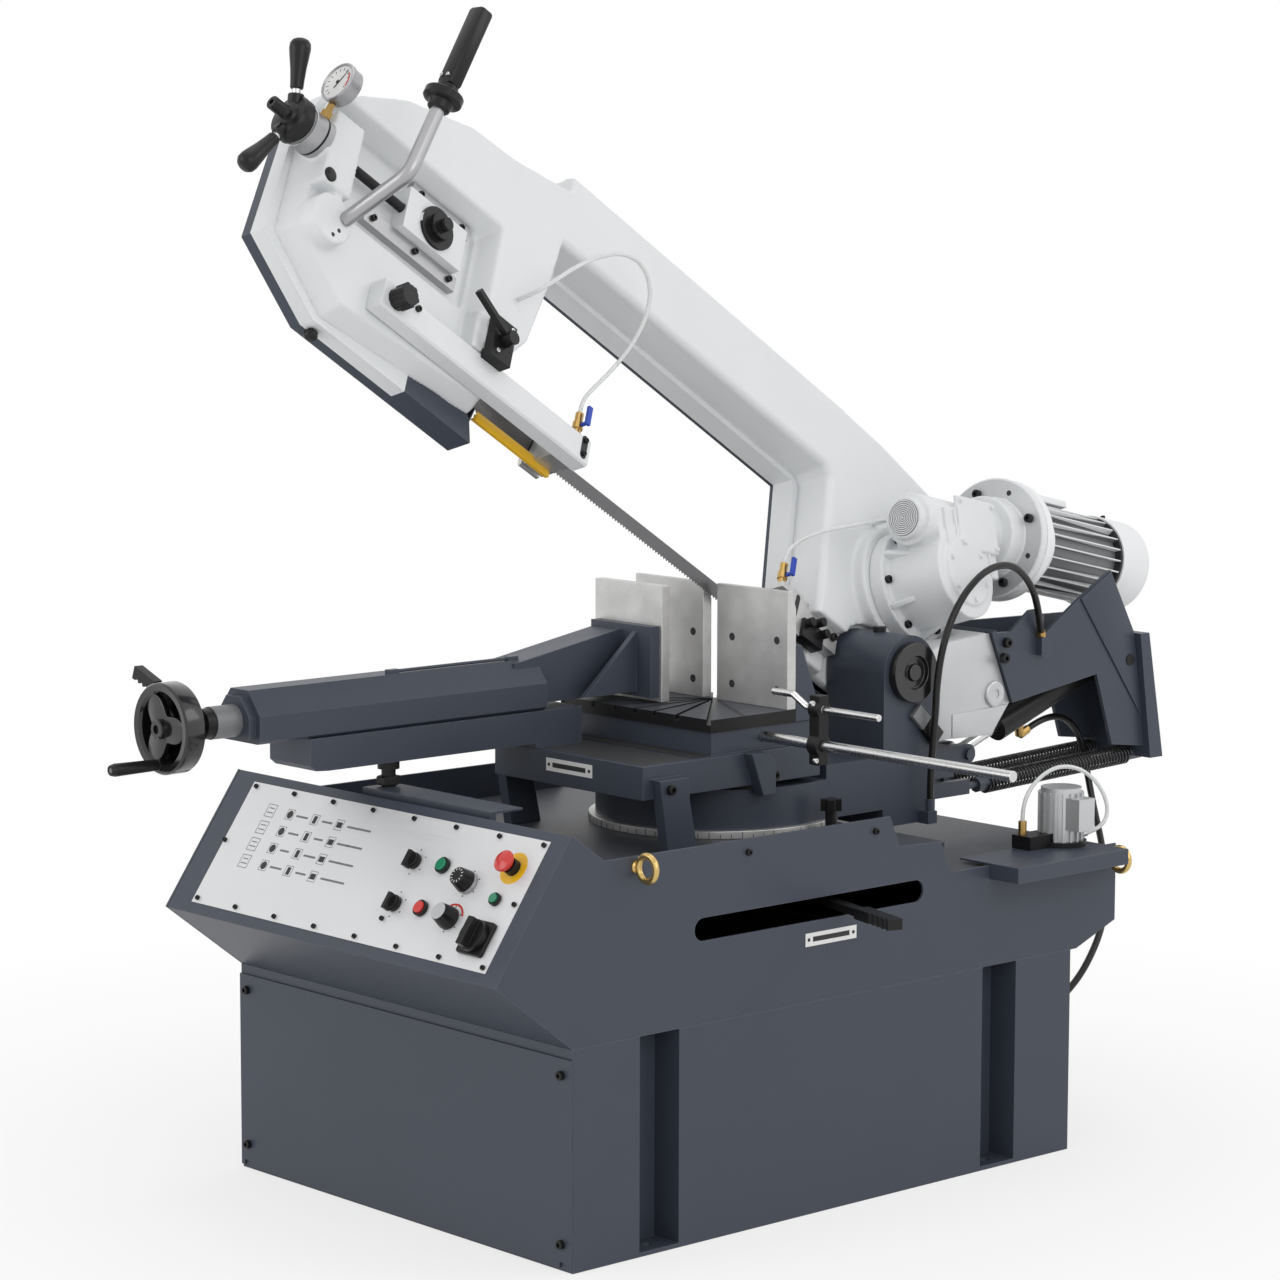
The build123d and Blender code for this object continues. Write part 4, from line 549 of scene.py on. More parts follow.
# Hoses: routes as in the part, in millimetres of their own frame
FRONT_ROUTE = [
    (-495, 161, 105), (-495, 161, 137), (-478, 188, 166), (-446, 236, 178), (-400, 290, 184),
    (-343, 338, 186), (-282, 360, 182), (-231, 338, 170), (-213, 288, 152), (-219, 228, 134),
    (-236, 172, 114), (-256, 126, 96), (-269, 92, 82), (-269, 62, 82),
]
REAR_ROUTE = [
    (560, 302, 105), (560, 302, 134), (538, 284, 156), (502, 258, 162), (464, 232, 156), (424, 206, 142),
    (390, 182, 122), (366, 158, 94), (352, 128, 72), (352, 100, 72),
]
LOOP_ROUTE = [
    (213, 820, 962), (225, 797, 1018), (240, 752, 1072), (252, 690, 1108), (257, 622, 1106), (257, 566, 1074),
    (254, 525, 1024), (250, 499, 958), (246, 490, 890), (243, 490, 828), (240, 487, 766), (238, 484, 716),
    (238, 484, 668),
]
LIFT_ROUTE = [
    (118, 889, 749.75), (118, 925, 765), (117, 985, 769), (117, 1034, 742), (118, 1060, 692),
    (126, 1066, 634), (150, 1060, 570), (192, 1038, 506), (240, 1000, 436), (278, 945, 360), (297, 872, 290),
    (299, 812, 247), (300, 752, 218), (300, 696, 205), (300, 641, 205),
]
PUMP_ROUTE = [
    (404, 564, 637), (404, 564, 664), (406, 580, 696), (411, 610, 722), (419, 648, 736), (430, 690, 730),
    (443, 724, 706), (455, 742, 672), (462, 744, 638), (458, 726, 612), (444, 704, 603),
]


def smooth_curve(name, points, radius, steps=10, around=3):
    data = bpy.data.curves.new(name, "CURVE")
    data.dimensions = "3D"
    data.bevel_depth = radius
    data.bevel_resolution = around
    data.use_fill_caps = True
    spline = data.splines.new("NURBS")
    spline.points.add(len(points) - 1)
    for target, point in zip(spline.points, points):
        target.co = (*point, 1)
    spline.order_u = 3
    spline.use_endpoint_u = True
    spline.resolution_u = steps
    return add_object(name, data)


def curve_mesh(curve):
    return bpy.data.meshes.new_from_object(curve.evaluated_get(bpy.context.evaluated_depsgraph_get()))


def tube_mesh(curve):
    """Mesh that takes the place of a tube's curve, and the points of the tube's middle line."""
    tube = curve_mesh(curve)
    tube.shade_smooth()
    curve.data.bevel_depth = 0
    line = [vertex.co.copy() for vertex in curve_mesh(curve).vertices]
    bpy.data.objects.remove(curve)
    return tube, line


def hose(name, place, route, length, bodies, diameter, material, slot, node):
    """Hose on one body, or a mesh tube laid from the first body to the second."""
    points = [place @ Vector(point) for point in route]
    curve = smooth_curve(name, points, diameter / 2 * MM)
    facts = dict(exit=points[0], length=length, diameter=diameter * MM, far_end="object", lay="hanging")
    if len(bodies) == 1:
        line = curve.data
        bpy.data.objects.remove(curve)
        made = piece(name, line, material, bodies[0], node)
    else:
        tube, facts["path"] = tube_mesh(curve)
        made = piece(name, tube, material, bodies, node, (points[0], points[-1]))


def halfway(route, index):
    """Middle of the leg after a route's point, where a smooth curve meets the leg."""
    return tuple((first + second) / 2 for first, second in zip(route[index], route[index + 1]))


def make_hoses():
    low_joint = halfway(LIFT_ROUTE, 5)
    high_joint = halfway(LIFT_ROUTE, 3)
    low_route = LIFT_ROUTE[:5:-1] + [low_joint]
    high_route = [low_joint, LIFT_ROUTE[5], LIFT_ROUTE[4], high_joint]
    end_route = [high_joint, *LIFT_ROUTE[3::-1]]
    coolant = (8, clear, "coolant_tube")
    oil = (14, rubber, "hose_rubber", "hydraulic_hose")
    hose("front_coolant_hose", BOW, FRONT_ROUTE, 0.69, ("bow", "guide"), *coolant, "coolant_hoses")
    hose("rear_coolant_hose", BOW, REAR_ROUTE, 0.36, ("bow",), *coolant, "coolant_hoses")
    hose("loop_hose", ROW, LOOP_ROUTE[::-1], 0.76, ("arm", "bow"), *oil)
    hose("lift_hose_low", ROW, low_route, 0.66, ("base", "arm"), *oil)
    hose("lift_hose_high", ROW, high_route, 0.12, ("arm", "bow"), *oil)
    hose("lift_hose_end", ROW, end_route, 0.18, ("bow", "cylinder"), *oil)
    hose("pump_hose_tube", ROW, PUMP_ROUTE, 0.36, ("base",), *coolant, "pump_hose")


# Head of the bow
HUB = Vector((-1030.3, 188, 70))
FORWARD = -X_WAY
STAR_ANGLES = (73.5, 253.5)
STAR_LEAN = radians(23)
GAUGE_A = -1001
GAUGE_REACH = 102
GAUGE_LEAN = radians(27)
CAN_LENGTH = 45.3
HANDLE_POINTS = ((-915, 57, 97), (-915, 106, 234), (-915, 230, 272))


def star_way(angle):
    turn = radians(angle)
    return Vector((-sin(STAR_LEAN), cos(STAR_LEAN) * sin(turn), cos(STAR_LEAN) * cos(turn)))


def make_star():
    middle = HUB + FORWARD * 20
    hub = Shape(BOW)
    necks = Shape(BOW)
    hub.lathe(HUB, FORWARD, [
        (0, 0.2), (30, 0.2), (32, 6), (39, 8), (42, 11), (42, 30), (39, 35), (26, 37), (24, 42), (14, 44),
        (12.4, 47), (12.4, 74), (11, 75.8), (5, 75.8), (5, 66), (0, 66),
    ], sides=48)
    for angle in STAR_ANGLES:
        way = star_way(angle)
        hub.lathe(middle, way, [(0, 24), (14, 24), (14, 43), (12, 45), (0, 45)], sides=32)
        hub.lathe(middle, way, [
            (0, 53), (10, 53), (11.5, 55), (12, 66), (14, 88), (17, 108), (18.8, 122), (18, 131), (14, 137),
            (7.5, 140), (0, 140.4),
        ], sides=32)
        necks.drum(middle, way, 7.6, 42, 55)
    hub.done("star_handle", black_plastic, "star", "black_plastic", "tension_handle")
    necks.done("star_necks", bright, "star", "plated_steel", "tension_handle")
    pitch, turns, plain = 3.2, 52, 100
    profile = [(0, 0), (8.4, 0), (8.4, plain)]
    for i in range(turns):
        start = plain + pitch * i
        profile += [(9.0, start + 0.35 * pitch), (9.0, start + 0.6 * pitch), (8.1, start + 0.95 * pitch)]
    profile.append((0, profile[-1][1]))
    thread = Shape(BOW).lathe(HUB, -FORWARD, profile, sides=20)
    thread.done("tension_screw", black_paint, "star", "black_paint", "tension_handle")


def make_gauge():
    way = Vector((0, cos(GAUGE_LEAN), sin(GAUGE_LEAN)))
    axis = Vector((GAUGE_A, HUB.y, HUB.z))
    middle = axis + way * GAUGE_REACH
    case = Shape(BOW).lathe(middle - FORWARD * 15, FORWARD, [
        (0, 0), (33, 0), (36, 3), (36, 20), (38, 21), (38, 28), (36.5, 30), (34, 30), (33, 27), (0, 27),
    ], sides=48)
    case.done("gauge_case", satin, "bow", "plated_steel", "tension_gauge")
    stem = Shape(BOW)
    stem.lathe(axis + way * 37.3, way, [(0, 0), (11, 0), (11, 12), (7, 13), (7, 27.5), (0, 27.5)], sides=6)
    stem.done("gauge_stem", brass, "bow", "gold_zinc", "tension_gauge")
    face = moved(BOW, middle + FORWARD * 12) @ Matrix.Rotation(-pi / 2, 4, "Y")
    Shape(face).drum((0, 0, 0), OUT, 32.9, 0.02, 0.3, 48).done("gauge_dial", pale, "bow")
    Shape(face).sector(24, 28, -40, 20, 0.3, 0.5).done("gauge_red_arc", red, "bow")
    ticks = Shape(face)
    angles = [225 - 22.5 * i for i in range(13)]
    for start, end in zip(circle(22, angles), circle(28, angles)):
        ticks.rod((*start, 0.3), (*end, 0.3), 0.6, 0.1, 6)
    ticks.prism([(-8, -9.5), (-6, -11), (22, 16), (21.5, 16.6)], 0.6, 1.2)
    ticks.rod((0, 0, 0.3), (0, 0, 2.2), 3.4)
    ticks.done("gauge_needle", ink_and_shade, "bow")


def make_can():
    rear = HUB - FORWARD * CAN_LENGTH
    profile = [(35, 0.3), (37.8, 0.3), (37.8, 43.6), (36.5, 44.9), (35, 44.9)]
    Shape(BOW).lathe(rear, FORWARD, profile, sides=48, ring=True).done("spring_can_sleeve", satin, "bow")
    Shape(BOW).collar(rear, FORWARD, 37, 38.2, 14, 18).done("spring_can_band", black_plastic, "bow")


def make_handle():
    foot, bend, top = [Vector(point) for point in HANDLE_POINTS]
    way = (top - bend).normalized()
    points = [foot, foot.lerp(bend, 0.72), bend, bend.lerp(top, 0.3), top + way * 4]
    tube = tube_mesh(smooth_curve("handle_line", [BOW @ point for point in points], 13 * MM))[0]
    piece("handle_tube", tube, satin, "bow", "bow_handle")
    guard = Shape(BOW).lathe(top, way, [
        (0, -4), (17, -4), (20, -1), (22, 9), (23, 11), (33, 13.5), (35, 16), (35, 28), (33, 30.5),
        (24, 32.5), (20, 35), (19, 43.5), (0, 43.5),
    ], sides=48)
    guard.done("handle_guard", black_plastic, "bow", "black_plastic", "bow_handle")
    axes = Matrix((X_WAY, way.cross(X_WAY), way)).transposed().to_4x4()
    grip_place = moved(BOW, top + way * 44) @ axes
    width, depth, length = 30, 36, 155
    grip = Shape(grip_place).box(span(0, width), span(0, depth), (0, length))
    grip.done("handle_grip", black_plastic, "bow", "black_plastic", "bow_handle", rounded=6.5)
    studs = [(-width / 2, y, 14) for y in (-8, 8)]
    screws("handle_grip_screws", grip_place, studs, 3.4, "bow", "plated_steel", bright, -X_WAY)


COVER_RIM = ((-842, 380), (-960, 325), (-1006, 205), (-1022, -4), (-874, -98), (-640, -100))
WINDOW_EDGE = ((-442, 60), (-408, 335), (395, 335), (416, 90))
COVER_LIP = ((-640, -100), (-464, -102), (-475, -66), (-482, -53), (-640, -67))
# Levels of the rims and the lip, out of the bow's middle plane
RIM_LOW, RIM_FACE, RIM_TOP, LIP_TOP = 20, 20.2, 23, 22


def make_skirts():
    """Rims of the casting over the wheel cover's edge, and the cover's lip."""
    rims = (("casting_skirt", COVER_RIM, -8), ("window_skirt", WINDOW_EDGE, -22))
    lap = -34
    for name, line, back in rims:
        skirt = Shape(BOW).strip(line, 0.2, 1.8, back, RIM_LOW).strip(line, lap, 1.8, RIM_FACE, RIM_TOP)
        skirt.done(name, white, "bow", "cast_paint")
    Shape(BOW).prism(COVER_LIP, RIM_FACE, LIP_TOP).done("cover_lip", slate, "bow", "base_paint")


TAIL_FACE = 195
TAIL_OUTLINE = ((552, 956.7), (688.5, 966.5), (749.5, 825.5), (699.3, 765.5), (552, 769.3))
TAIL_STEP = ((586, 816), (742, 822), (698, 768), (586, 771))


def make_tail_face():
    """Machined faces of the tail of the casting, beside the pivot."""
    tail = Shape(SIDE).prism(TAIL_OUTLINE, TAIL_FACE - 0.5, TAIL_FACE + 0.8)
    tail.prism(TAIL_STEP, TAIL_FACE, TAIL_FACE + 3)
    boss = [(0, 0), (26, 0), (26, 4), (23, 6), (9, 6), (9, 3), (0, 3)]
    tail.lathe((706, 846, TAIL_FACE), OUT, boss, sides=40)
    tail.done("tail_face", alloy, "bow", "alloy", rounded=0.6)


# Faces of the bow that carry fasteners, out of its middle plane
RAIL_FACE, GUIDE_FACE, PAD_FACE, REAR_FACE = 66.2, 100, 125.3, 88


def make_head_fasteners():
    rails = [(-735, 246), (-627, 246), (-830, 130), (-722, 130), (-632, 130)]
    screws("rail_screws", BOW, [(*spot, RAIL_FACE) for spot in rails], 6, "bow")
    holes("boss_holes", BOW, [(-934, 14, 97), (-923, 29, 97)], 4, "bow")
    screws("guide_end_screw", BOW, [(-717, -2, GUIDE_FACE)], 6, "guide")
    guard = Shape(BOW).box((-455, -252), (-46, -26), (13, 15))
    guard.done("blade_guard_sheet", yellow, "guide", "gold_zinc", rounded=0.4)
    plug = Shape(BOW).lathe((-971, 115, 100), OUT, [(0, -0.4), (13, -0.4), (13, 2), (11, 3), (0, 3)])
    plug.done("housing_plug", black_plastic, "bow", "black_plastic")
    profile = [(0, -1), (7, -1), (7, 5), (12, 7), (12.5, 15), (10, 19), (0, 20)]
    knob = Shape(BOW).lathe((-853, -98, 0), -Y_WAY, profile)
    knob.done("cover_knob", black_plastic, "bow", "black_plastic")
    lobes = Shape(BOW)
    for spot in circle(17, range(0, 360, 60), (-768, -16)):
        lobes.rod((*spot, 108), (*spot, 133), 6)
    lobes.done("guide_knob_lobes", black_plastic, "guide", "black_plastic")
    oblong("guide_arm_slot", BOW, (-261, -28, GUIDE_FACE), (-261, 4, GUIDE_FACE), 8, "guide")
    screws("guide_arm_screws", BOW, [(-261, b, GUIDE_FACE + 0.4) for b in (-26, 2)], 5, "guide")
    pad = [(-539, 16, PAD_FACE), (-513, 74, PAD_FACE)]
    screws("pad_screws", BOW, pad, 4.5, "bow", "plated_steel", bright)


# Outer faces of the stop clamp, the lift bracket and the swivel arm
CLAMP_FACE, BRACKET_FACE, ARM_FACE = 364, 203, 215


def make_rear_details():
    oblong("rear_guide_slot", BOW, (384, 4, REAR_FACE), (388, 40, REAR_FACE), 6, "bow")
    screws("rear_guide_screws", BOW, [(502, 14, REAR_FACE)], 8, "bow")
    lobes = Shape(BOW).box((406, 468), (-36, 4), (70, 96))
    for spot in ((415, -5), (446, 12), (461, -6)):
        lobes.rod((*spot, REAR_FACE), (*spot, 112), 9)
    lobes.done("rear_guide_bracket", black_paint, "bow", "black_paint", rounded=4)
    clamp = [(38, 908, CLAMP_FACE), (48, 802, CLAMP_FACE)]
    screws("stop_clamp_screws", SIDE, clamp, 5, "stop_slide", "plated_steel", bright)
    screws("bracket_screws", SIDE, [(729, 946, BRACKET_FACE), (722, 916, BRACKET_FACE)], 10, "bow")
    outline = [(946, 1016), (1035, 1064), (1109, 934), (1136, 761)]
    post = Shape(SIDE).prism(outline, BRACKET_FACE, BRACKET_FACE + 4)
    post.done("bracket_post", slate, "bow", "base_paint", rounded=1.0)
    limit = moved(SIDE, (486, 811, ARM_FACE), -44)
    head = Shape(limit).box((-42, 0), (-16, 16), (-0.3, 13))
    head.done("limit_switch_head", mid_grey_and_shade, "arm", "plated_steel", rounded=3)
    case = Shape(limit).box((0.2, 46), (-17, 17), (-0.3, 14))
    case.done("limit_switch_case", black_plastic, "arm", "black_plastic", rounded=2)


# Gearbox and motor: faces along the worm housing, and circles of their bolts
FLANGE_FACE, FLANGE_CIRCLE = 192, 97
VENT_FACE, VENT_RINGS, VENT_PITCH = -112, 9, 4
GEAR_FLANGE, GEAR_COVER = 165, 293


def make_gearbox_fasteners():
    wheel = (DRIVE_A, WHEEL)
    flange = [(*spot, GEAR_FLANGE) for spot in circle(97, range(22, 382, 60), wheel)]
    screws("gear_flange_bolts", BOW, flange, 8, "bow")
    cover = [(*spot, GEAR_COVER) for spot in circle(58, range(0, 360, 60), wheel)]
    cover_bolts("gear_cover_bolts", BOW, cover)
    face = Shape(WORM).collar((FLANGE_FACE, 0, 0), -X_WAY, 81, 118, -0.5, 0.8, 64)
    face.done("motor_flange_face", alloy, "bow", "alloy")
    bolt_face = FLANGE_FACE - 0.8
    mounts = [(bolt_face, *spot) for spot in circle(FLANGE_CIRCLE, range(-10, 350, 90))]
    screws("motor_flange_bolts", WORM, mounts, 9, "bow", way=-X_WAY)
    spare = [(bolt_face, *spot) for spot in circle(FLANGE_CIRCLE, range(35, 395, 90))]
    holes("motor_flange_holes", WORM, spare, 5.5, "bow", -X_WAY)
    cover_bolts("worm_cover_bolts", WORM, [(x, y, 62) for x in (0, 108) for y in (-50, 36)])
    vent_place = (VENT_FACE, 0, 0)
    # Darker disc under the vent's rings: painted shade between them
    Shape(WORM).disc(vent_place, -X_WAY, 36, 0.3, 40).done("vent_well_shade", mid_grey_and_shade, "bow", "alloy")
    vent = Shape(WORM)
    for i in range(VENT_RINGS):
        vent.collar(vent_place, -X_WAY, VENT_PITCH * i + 0.6, VENT_PITCH * i + 2.6, 0, 2.6, 40)
    vent.done("vent_mesh", alloy, "bow", "alloy")


def make_motor_details():
    profile = [(75, -1), (104, -1), (104, 8), (95, 14), (91.5, 48), (89, 56), (75, 56)]
    shield = Shape(WORM).lathe((232, 0, 0), X_WAY, profile, sides=64, ring=True)
    shield.done("motor_end_shield", motor_paint, "bow", "alloy")
    # Dark ring at the gap between the motor and its fan cover: painted shade
    Shape(WORM).collar((533, 0, 0), X_WAY, 74, 90.4, 0, 6.8, 64).done("fan_gap_shade", ink_and_shade, "bow")
    block = Shape(WORM).box((300, 420), (84, 99), (-46, 46))
    block.done("terminal_block", motor_paint, "bow", "alloy", rounded=3)
    fan_radius, turn = 94, 0.3
    spot = (586, fan_radius * cos(turn), fan_radius * sin(turn))
    screws("fan_cover_screws", WORM, [spot], 5, "bow", way=Y_WAY)


def make_gearbox_ribs():
    ribs = Shape(WORM)
    for x in (-52, -18, 16, 50, 84):
        ribs.box((x, x + 6), (-104, 16), (50, 58))
    ribs.done("gearbox_ribs", white, "bow", "cast_paint", rounded=1.5)
    outline = [(88, 164), (110, 164), (110, 172), (90.5, 215), (88, 215)]
    for i, angle in enumerate(range(52, 412, 60)):
        place = moved(BOW, DRIVE_WHEEL, angle) @ Matrix.Rotation(pi / 2, 4, "X")
        gusset = Shape(place).prism(outline, -5, 5)
        gusset.done(f"gear_gusset_{i}", white, "bow", "cast_paint", rounded=1.5)


# Blade: toothed band round both wheels, twisted upright along the cut
TWISTS = ((-690, -330), (412, 630))
CUT_TWIST = radians(69)
TOOTH_PITCH, TOOTH_CREASE = 8, radians(25)
# Along one tooth: share of its pitch, and depth below its tip
TOOTH = ((0.0, 0.0), (0.18, 3.2), (0.62, 3.2))


def cut_twist(a):
    """Twist of the band, in radians, at a place along the lower run."""
    (front_start, front_end), (rear_start, rear_end) = TWISTS
    rise = (a - front_start) / (front_end - front_start)
    fall = (rear_end - a) / (rear_end - rear_start)
    return CUT_TWIST * max(0, min(1, rise, fall))


def band_station(s):
    """Middle of the band, the way to its teeth and the way through it, at a distance along the loop."""
    run = DRIVE_A - IDLER_A
    arc = pi * WHEEL
    if s < run:
        a = IDLER_A + s
        turn = cut_twist(a)
        return Vector((a, 0, 0)), Vector((0, -sin(turn), -cos(turn))), Vector((0, cos(turn), -sin(turn)))
    if run + arc <= s < 2 * run + arc:
        return Vector((DRIVE_A - (s - run - arc), 2 * WHEEL, 0)), -OUT, -Y_WAY
    if s < run + arc:
        wheel, angle = DRIVE_A, (s - run) / WHEEL - pi / 2
    else:
        wheel, angle = IDLER_A, (s - 2 * run - arc) / WHEEL + pi / 2
    away = Vector((cos(angle), sin(angle), 0))
    return Vector((wheel, WHEEL, 0)) + away * WHEEL, -OUT, -away


def make_blade():
    length = 2 * (DRIVE_A - IDLER_A) + tau * WHEEL
    teeth = round(length / TOOTH_PITCH)
    half_width, half_thick = 13.5, 0.5
    band = Shape(BOW)
    stations = []
    for i in range(teeth):
        for share, depth in TOOTH:
            middle, tooth, through = band_station(length * (i + share) / teeth)
            edge = middle + tooth * (half_width - depth)
            back = middle - tooth * half_width
            skin = through * half_thick
            corners = (edge - skin, edge + skin, back + skin, back - skin)
            stations.append([band.mesh.verts.new(corner) for corner in corners])
    for first, second in zip(stations, stations[1:] + stations[:1]):
        for i in range(4):
            j = (i + 1) % 4
            band.mesh.faces.new((first[i], first[j], second[j], second[i]))
    ends = [BOW @ Vector((a, WHEEL, 0)) for a in (DRIVE_A, IDLER_A)]
    band.done("toothed_blade", dark_steel, ("bow", "tension"), "bare_steel", "blade", 0, TOOTH_CREASE, ends)


# Counterbalance springs, between the swivel arm and the bow's bracket
SPRING_FRONT = (712, 664)
SPRING_REAR = (1135, 680)
SPRING_PLACES = (66, 165)
# Share of the spring's length, and the share of the bow's motion there that keeps the coil straight
SPRING_RUNS = ((0, 0), (0.08, 0.27), (0.25, 0.59), (0.5, 0.81), (1, 1))


def eased(weight):
    """Place between the ends of a blend where its smooth weight has this value."""
    return 0.5 - sin(asin(1 - 2 * weight) / 3)


def make_springs():
    turns, per_turn, radius, wire = 46, 12, 18.3, 2.5
    steps = turns * per_turn
    way = Vector((0, SPRING_REAR[0] - SPRING_FRONT[0], SPRING_REAR[1] - SPRING_FRONT[1]))
    up = way.normalized().cross(X_WAY)
    for i, x in enumerate(SPRING_PLACES):
        front = Vector((x, *SPRING_FRONT))
        for run, ((low, low_weight), (high, high_weight)) in enumerate(zip(SPRING_RUNS, SPRING_RUNS[1:])):
            points = []
            for step in range(round(low * steps), round(high * steps) + 1):
                angle = tau * step / per_turn
                wound = (X_WAY * cos(angle) + up * sin(angle)) * radius
                points.append(ROW @ (front + way * step / steps + wound))
            coil = tube_mesh(smooth_curve("spring_line", points, wire * MM, 2, 2))[0]
            before, after = eased(low_weight), eased(high_weight)
            reach = (high - low) / (after - before)
            start = low - before * reach
            ends = [ROW @ (front + way * share) for share in (start, start + reach)]
            name = f"spring_{i}_run_{run}"
            piece(name, coil, spring_wire, ("arm", "bow"), "counter_springs", ends)


# Base and work area
COVER_FACE, SIDE_FACE = 633, 473
SIGN_SIZE, SIGN_BAR = (128, 24), (92, 9)
SCALE_RADIUS, SCALE_FOOT = 238, 642
BED_TOP = 802.8
JAW_FACE = -126
JACK = (-97, -572, 769)


def make_eyes():
    rings = Shape(ROW)
    shank = [(0, -0.5), (11, -0.5), (11, 4), (7, 6), (7, 9), (0, 9)]
    for side in (-1, 1):
        for y, z in ((-487, 688), (733, 556)):
            rings.torus((side * 503, y, z), Y_WAY, 22, 6)
            rings.lathe((side * SIDE_FACE, y, z), X_WAY * side, shank)
    rings.done("lifting_eye_rings", gold, "base", "gold_zinc", "lifting_eyes")


def bare_plate(name, place, middle):
    """Unmarked sheet plate with two rivets and a plain dark bar."""
    x, y, z = middle
    plate = Shape(place).box(span(x, SIGN_SIZE[0]), span(y, SIGN_SIZE[1]), (z - 0.2, z + 1))
    plate.done(name, pale, "base")
    dark = Shape(place).box(span(x, SIGN_BAR[0]), span(y, SIGN_BAR[1]), (z + 0.9, z + 1.2))
    rivet = [(0, 1.5), (2, 1.4), (3.2, 0.6), (3.4, -0.1), (0, -0.1)]
    for rivet_x in span(x, SIGN_SIZE[0] - 16):
        dark.lathe((rivet_x, y, z + 1), OUT, rivet, sides=16)
    dark.done(name + "_bar", ink_and_shade, "base")


def make_base_details():
    cover = [(x, y, COVER_FACE) for x in (-449, 449) for y in (48, 343)]
    screws("cover_screws", FRONT, cover, 8, "base", "black_paint")
    screws("side_plugs", SIDE, [(y, 681, SIDE_FACE) for y in (-222, 95)], 6, "base", "black_paint")
    bare_plate("side_plate_sign", SIDE, (-16, 504, SIDE_FACE))
    bare_plate("bed_plate_sign", FRONT, (18, 778, 242))
    # Dark sheet on the cabinet's floor: painted shade inside the cabinet, seen through its slot and openings
    Shape(ROW).box((-400, 400), (-622, 622), (1, 3)).done("cabinet_shade_pan", black_paint, "base", "black_paint")
    nut = Shape(ROW).lathe(JACK, OUT, [(0, 0), (20, 0), (22, 2), (22, 14), (20, 16), (0, 16)], sides=6)
    nut.done("jack_nut", black_paint, "base", "black_paint")


def make_scale():
    """Ticks every 5 degrees round the turntable, longer every 15."""
    ticks = Shape(SWIVEL)
    for i, (x, y) in enumerate(circle(SCALE_RADIUS, range(0, 360, 5))):
        tall = 11 if i % 3 == 0 else 7
        for low in range(SCALE_FOOT, SCALE_FOOT + tall):
            ticks.box(span(x, 1), span(y, 1), (low, low + 1))
    ticks.done("turntable_scale", ink_and_shade, "base")


def make_work_details():
    slide = Shape(ROW).box((-150, 208), (-232, -112), (BED_TOP, BED_TOP + 0.7))
    slide.done("bed_slide_face", dark_steel, "base", "bare_steel")
    # Dark strip for the bed's slot: painted shade
    Shape(ROW).box((-150, 204), (-104, -62), (BED_TOP, BED_TOP + 1.7)).done("bed_slot_shade", ink_and_shade, "base")
    steep = Shape(moved(SWIVEL, (0, 0, 0), -30)).box((34, 238), (-4, 4), (TABLE_TOP - 0.5, TABLE_TOP + 0.25))
    steep.done("table_groove", ink_and_shade, "base")
    screws("leg_bolts", SIDE, [(-197, 760, 243), (84, 754, 219)], 9, "base", "black_paint")
    right = ((61, 994), (182, 998), (61, 905), (182, 905))
    left = ((-47, 994), (-47, 904), (-168, 994), (-168, 904))
    holes("jaw_plugs", FRONT, [(*spot, JAW_FACE) for spot in right + left], 7.5, "base")
    sheet = Shape(ROW).box((-460, 460), (612, 618), (380, 470))
    sheet.done("chute_back", black_paint, "base", "black_paint")


HANDWHEEL = Vector((-135, -1031, 911))
CRANK_PIN = HANDWHEEL + Vector((-8, 0, -63))


def make_handwheel():
    wheel = Shape(ROW).lathe(HANDWHEEL, Y_WAY, [
        (62, -4), (66, -9), (77, -10.5), (80, -7), (80, 26), (78, 30), (64, 30), (62, 27),
    ], sides=64, ring=True)
    wheel.lathe(HANDWHEEL, Y_WAY, [
        (0, -13), (7, -13), (8, -18), (15, -18), (17, -16), (18, -8), (18, 74.2), (0, 74.2),
    ], sides=40)
    wheel.rod(CRANK_PIN - Y_WAY * 11.5, CRANK_PIN + Y_WAY * 14, 10)
    wheel.done("handwheel_rim", gloss_black, "handwheel", "black_plastic", "vise_handwheel")
    lobes = [circle(46 + 18.5 * cos(radians(3 * angle)), [angle])[0] for angle in range(0, 360, 5)]
    web = Shape(moved(ROW, HANDWHEEL) @ Matrix.Rotation(pi / 2, 4, "X")).prism(lobes, -5, 5)
    web.drum((0, 0, -25), OUT, 63, 0, 2, 64)
    web.done("handwheel_web", gloss_black, "handwheel", "black_plastic", "vise_handwheel", rounded=1.5)
    steel = Shape(ROW).rod(HANDWHEEL, HANDWHEEL + Y_WAY * 189, 10)
    steel.rod(CRANK_PIN, CRANK_PIN - Y_WAY * 107.5, 5)
    steel.done("handwheel_screw", dark_steel, "handwheel", "plated_steel", "vise_handwheel")


PANEL_FACE = 2.0
EMERGENCY = (378, 67)
MARK_COLUMNS = (-259, -185, -113)
PICTURE_COLUMN, LABEL_COLUMN = -317, -44
DIAL_TOP = 32


def printed(made, x, s, width, height):
    """Flat printed mark on the panel, by its middle and size."""
    made.box(span(x, width), span(s, height), (PANEL_FACE - 0.1, PANEL_FACE + 0.15))


def printed_frame(made, x, s, size, line):
    for edge_x, edge_s in zip(span(x, size), span(s, size)):
        printed(made, edge_x, s, line, size + line)
        printed(made, x, edge_s, size + line, line)


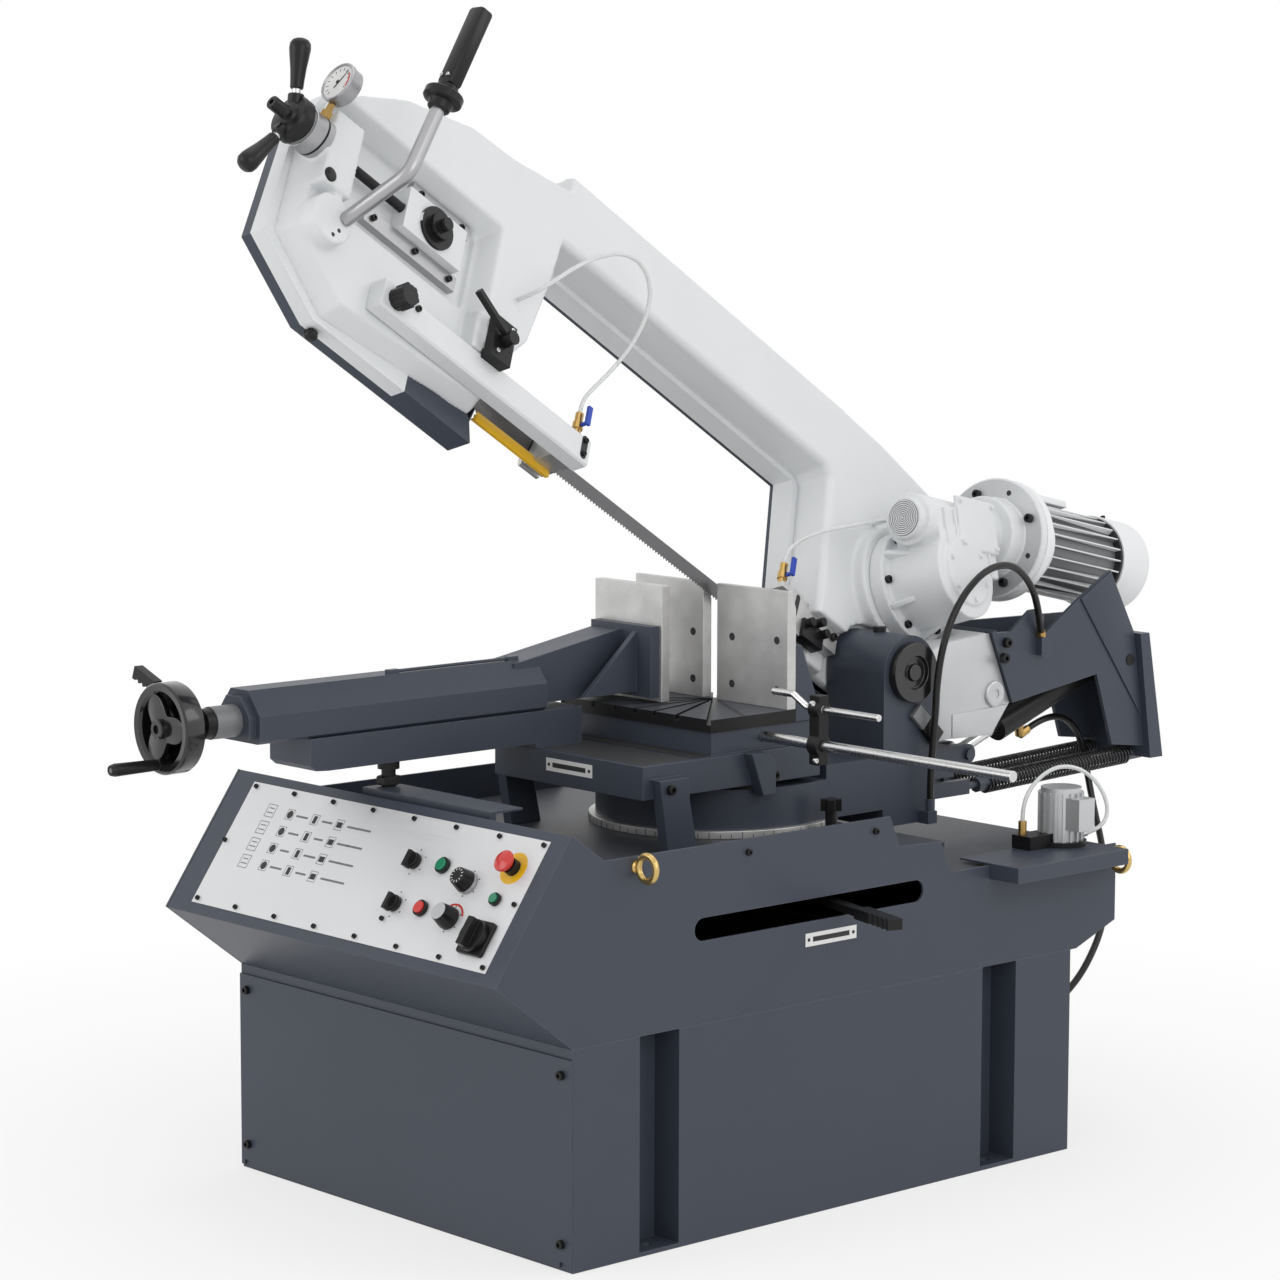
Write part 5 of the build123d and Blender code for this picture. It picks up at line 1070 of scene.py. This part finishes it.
def make_panel_marks():
    plate = [(-391 + 116.3 * i, s, PANEL_FACE) for i in range(8) for s in (118, -116)]
    plate += [(x, s, PANEL_FACE) for x, s in ((-400, 4), (423, 4), (120, -73))]
    screws("panel_screws", PANEL, plate, 4.5, "base", "black_paint")
    ring = Shape(PANEL).collar((*EMERGENCY, PANEL_FACE), OUT, 15.4, 30, -0.1, 0.5)
    ring.done("stop_ring", yellow, "base", "gold_zinc")
    marks = Shape(PANEL)
    lines = Shape(PANEL)
    for row in range(4):
        s = 78 - 35 * row
        printed_frame(lines, PICTURE_COLUMN, s, 25, 1.3)
        printed(lines, PICTURE_COLUMN, s + 5, 15, 2)
        printed(lines, PICTURE_COLUMN, s - 4, 18, 2)
        first, second, third = MARK_COLUMNS
        marks.disc((first, s, PANEL_FACE), OUT, 8, 0.15)
        printed(marks, second, s, 10, 15)
        printed(marks, third, s, 15, 11)
        for column, x in enumerate(MARK_COLUMNS):
            printed_frame(lines, x, s, 20, 1.1)
            printed(lines, x + 36, s, 34 - 4 * ((row + column) % 3), 4)
        printed(lines, LABEL_COLUMN, s, 44, 4)
    for dial in (MODE, PUMP, SPEED, FEED):
        for spot in circle(24, range(30, 360, 60), dial):
            marks.disc((*spot, PANEL_FACE), OUT, 1.6, 0.15, 12)
    marks.done("panel_marks", ink_and_shade, "base")
    lines.done("panel_lines", print_grey, "base")
    arc = Shape(moved(PANEL, (*FEED, PANEL_FACE))).sector(26, 30, 20, 150, -0.1, 0.2)
    arc.done("feed_arc", red, "base")
    ticks = Shape(moved(PANEL, (*SPEED, PANEL_FACE)))
    for angle in range(0, 360, 30):
        ticks.sector(10, 14, angle, angle + 6, DIAL_TOP - 0.1, DIAL_TOP + 0.2, steps=2)
    ticks.done("speed_ticks", pale, "speed")


set_camera()
set_studio()
finish_nodes()
paint_nodes()
make_hoses()
make_star()
make_gauge()
make_can()
make_handle()
make_skirts()
make_tail_face()
make_head_fasteners()
make_rear_details()
make_gearbox_fasteners()
make_motor_details()
make_gearbox_ribs()
make_blade()
make_springs()
make_eyes()
make_base_details()
make_scale()
make_work_details()
make_handwheel()
make_panel_marks()
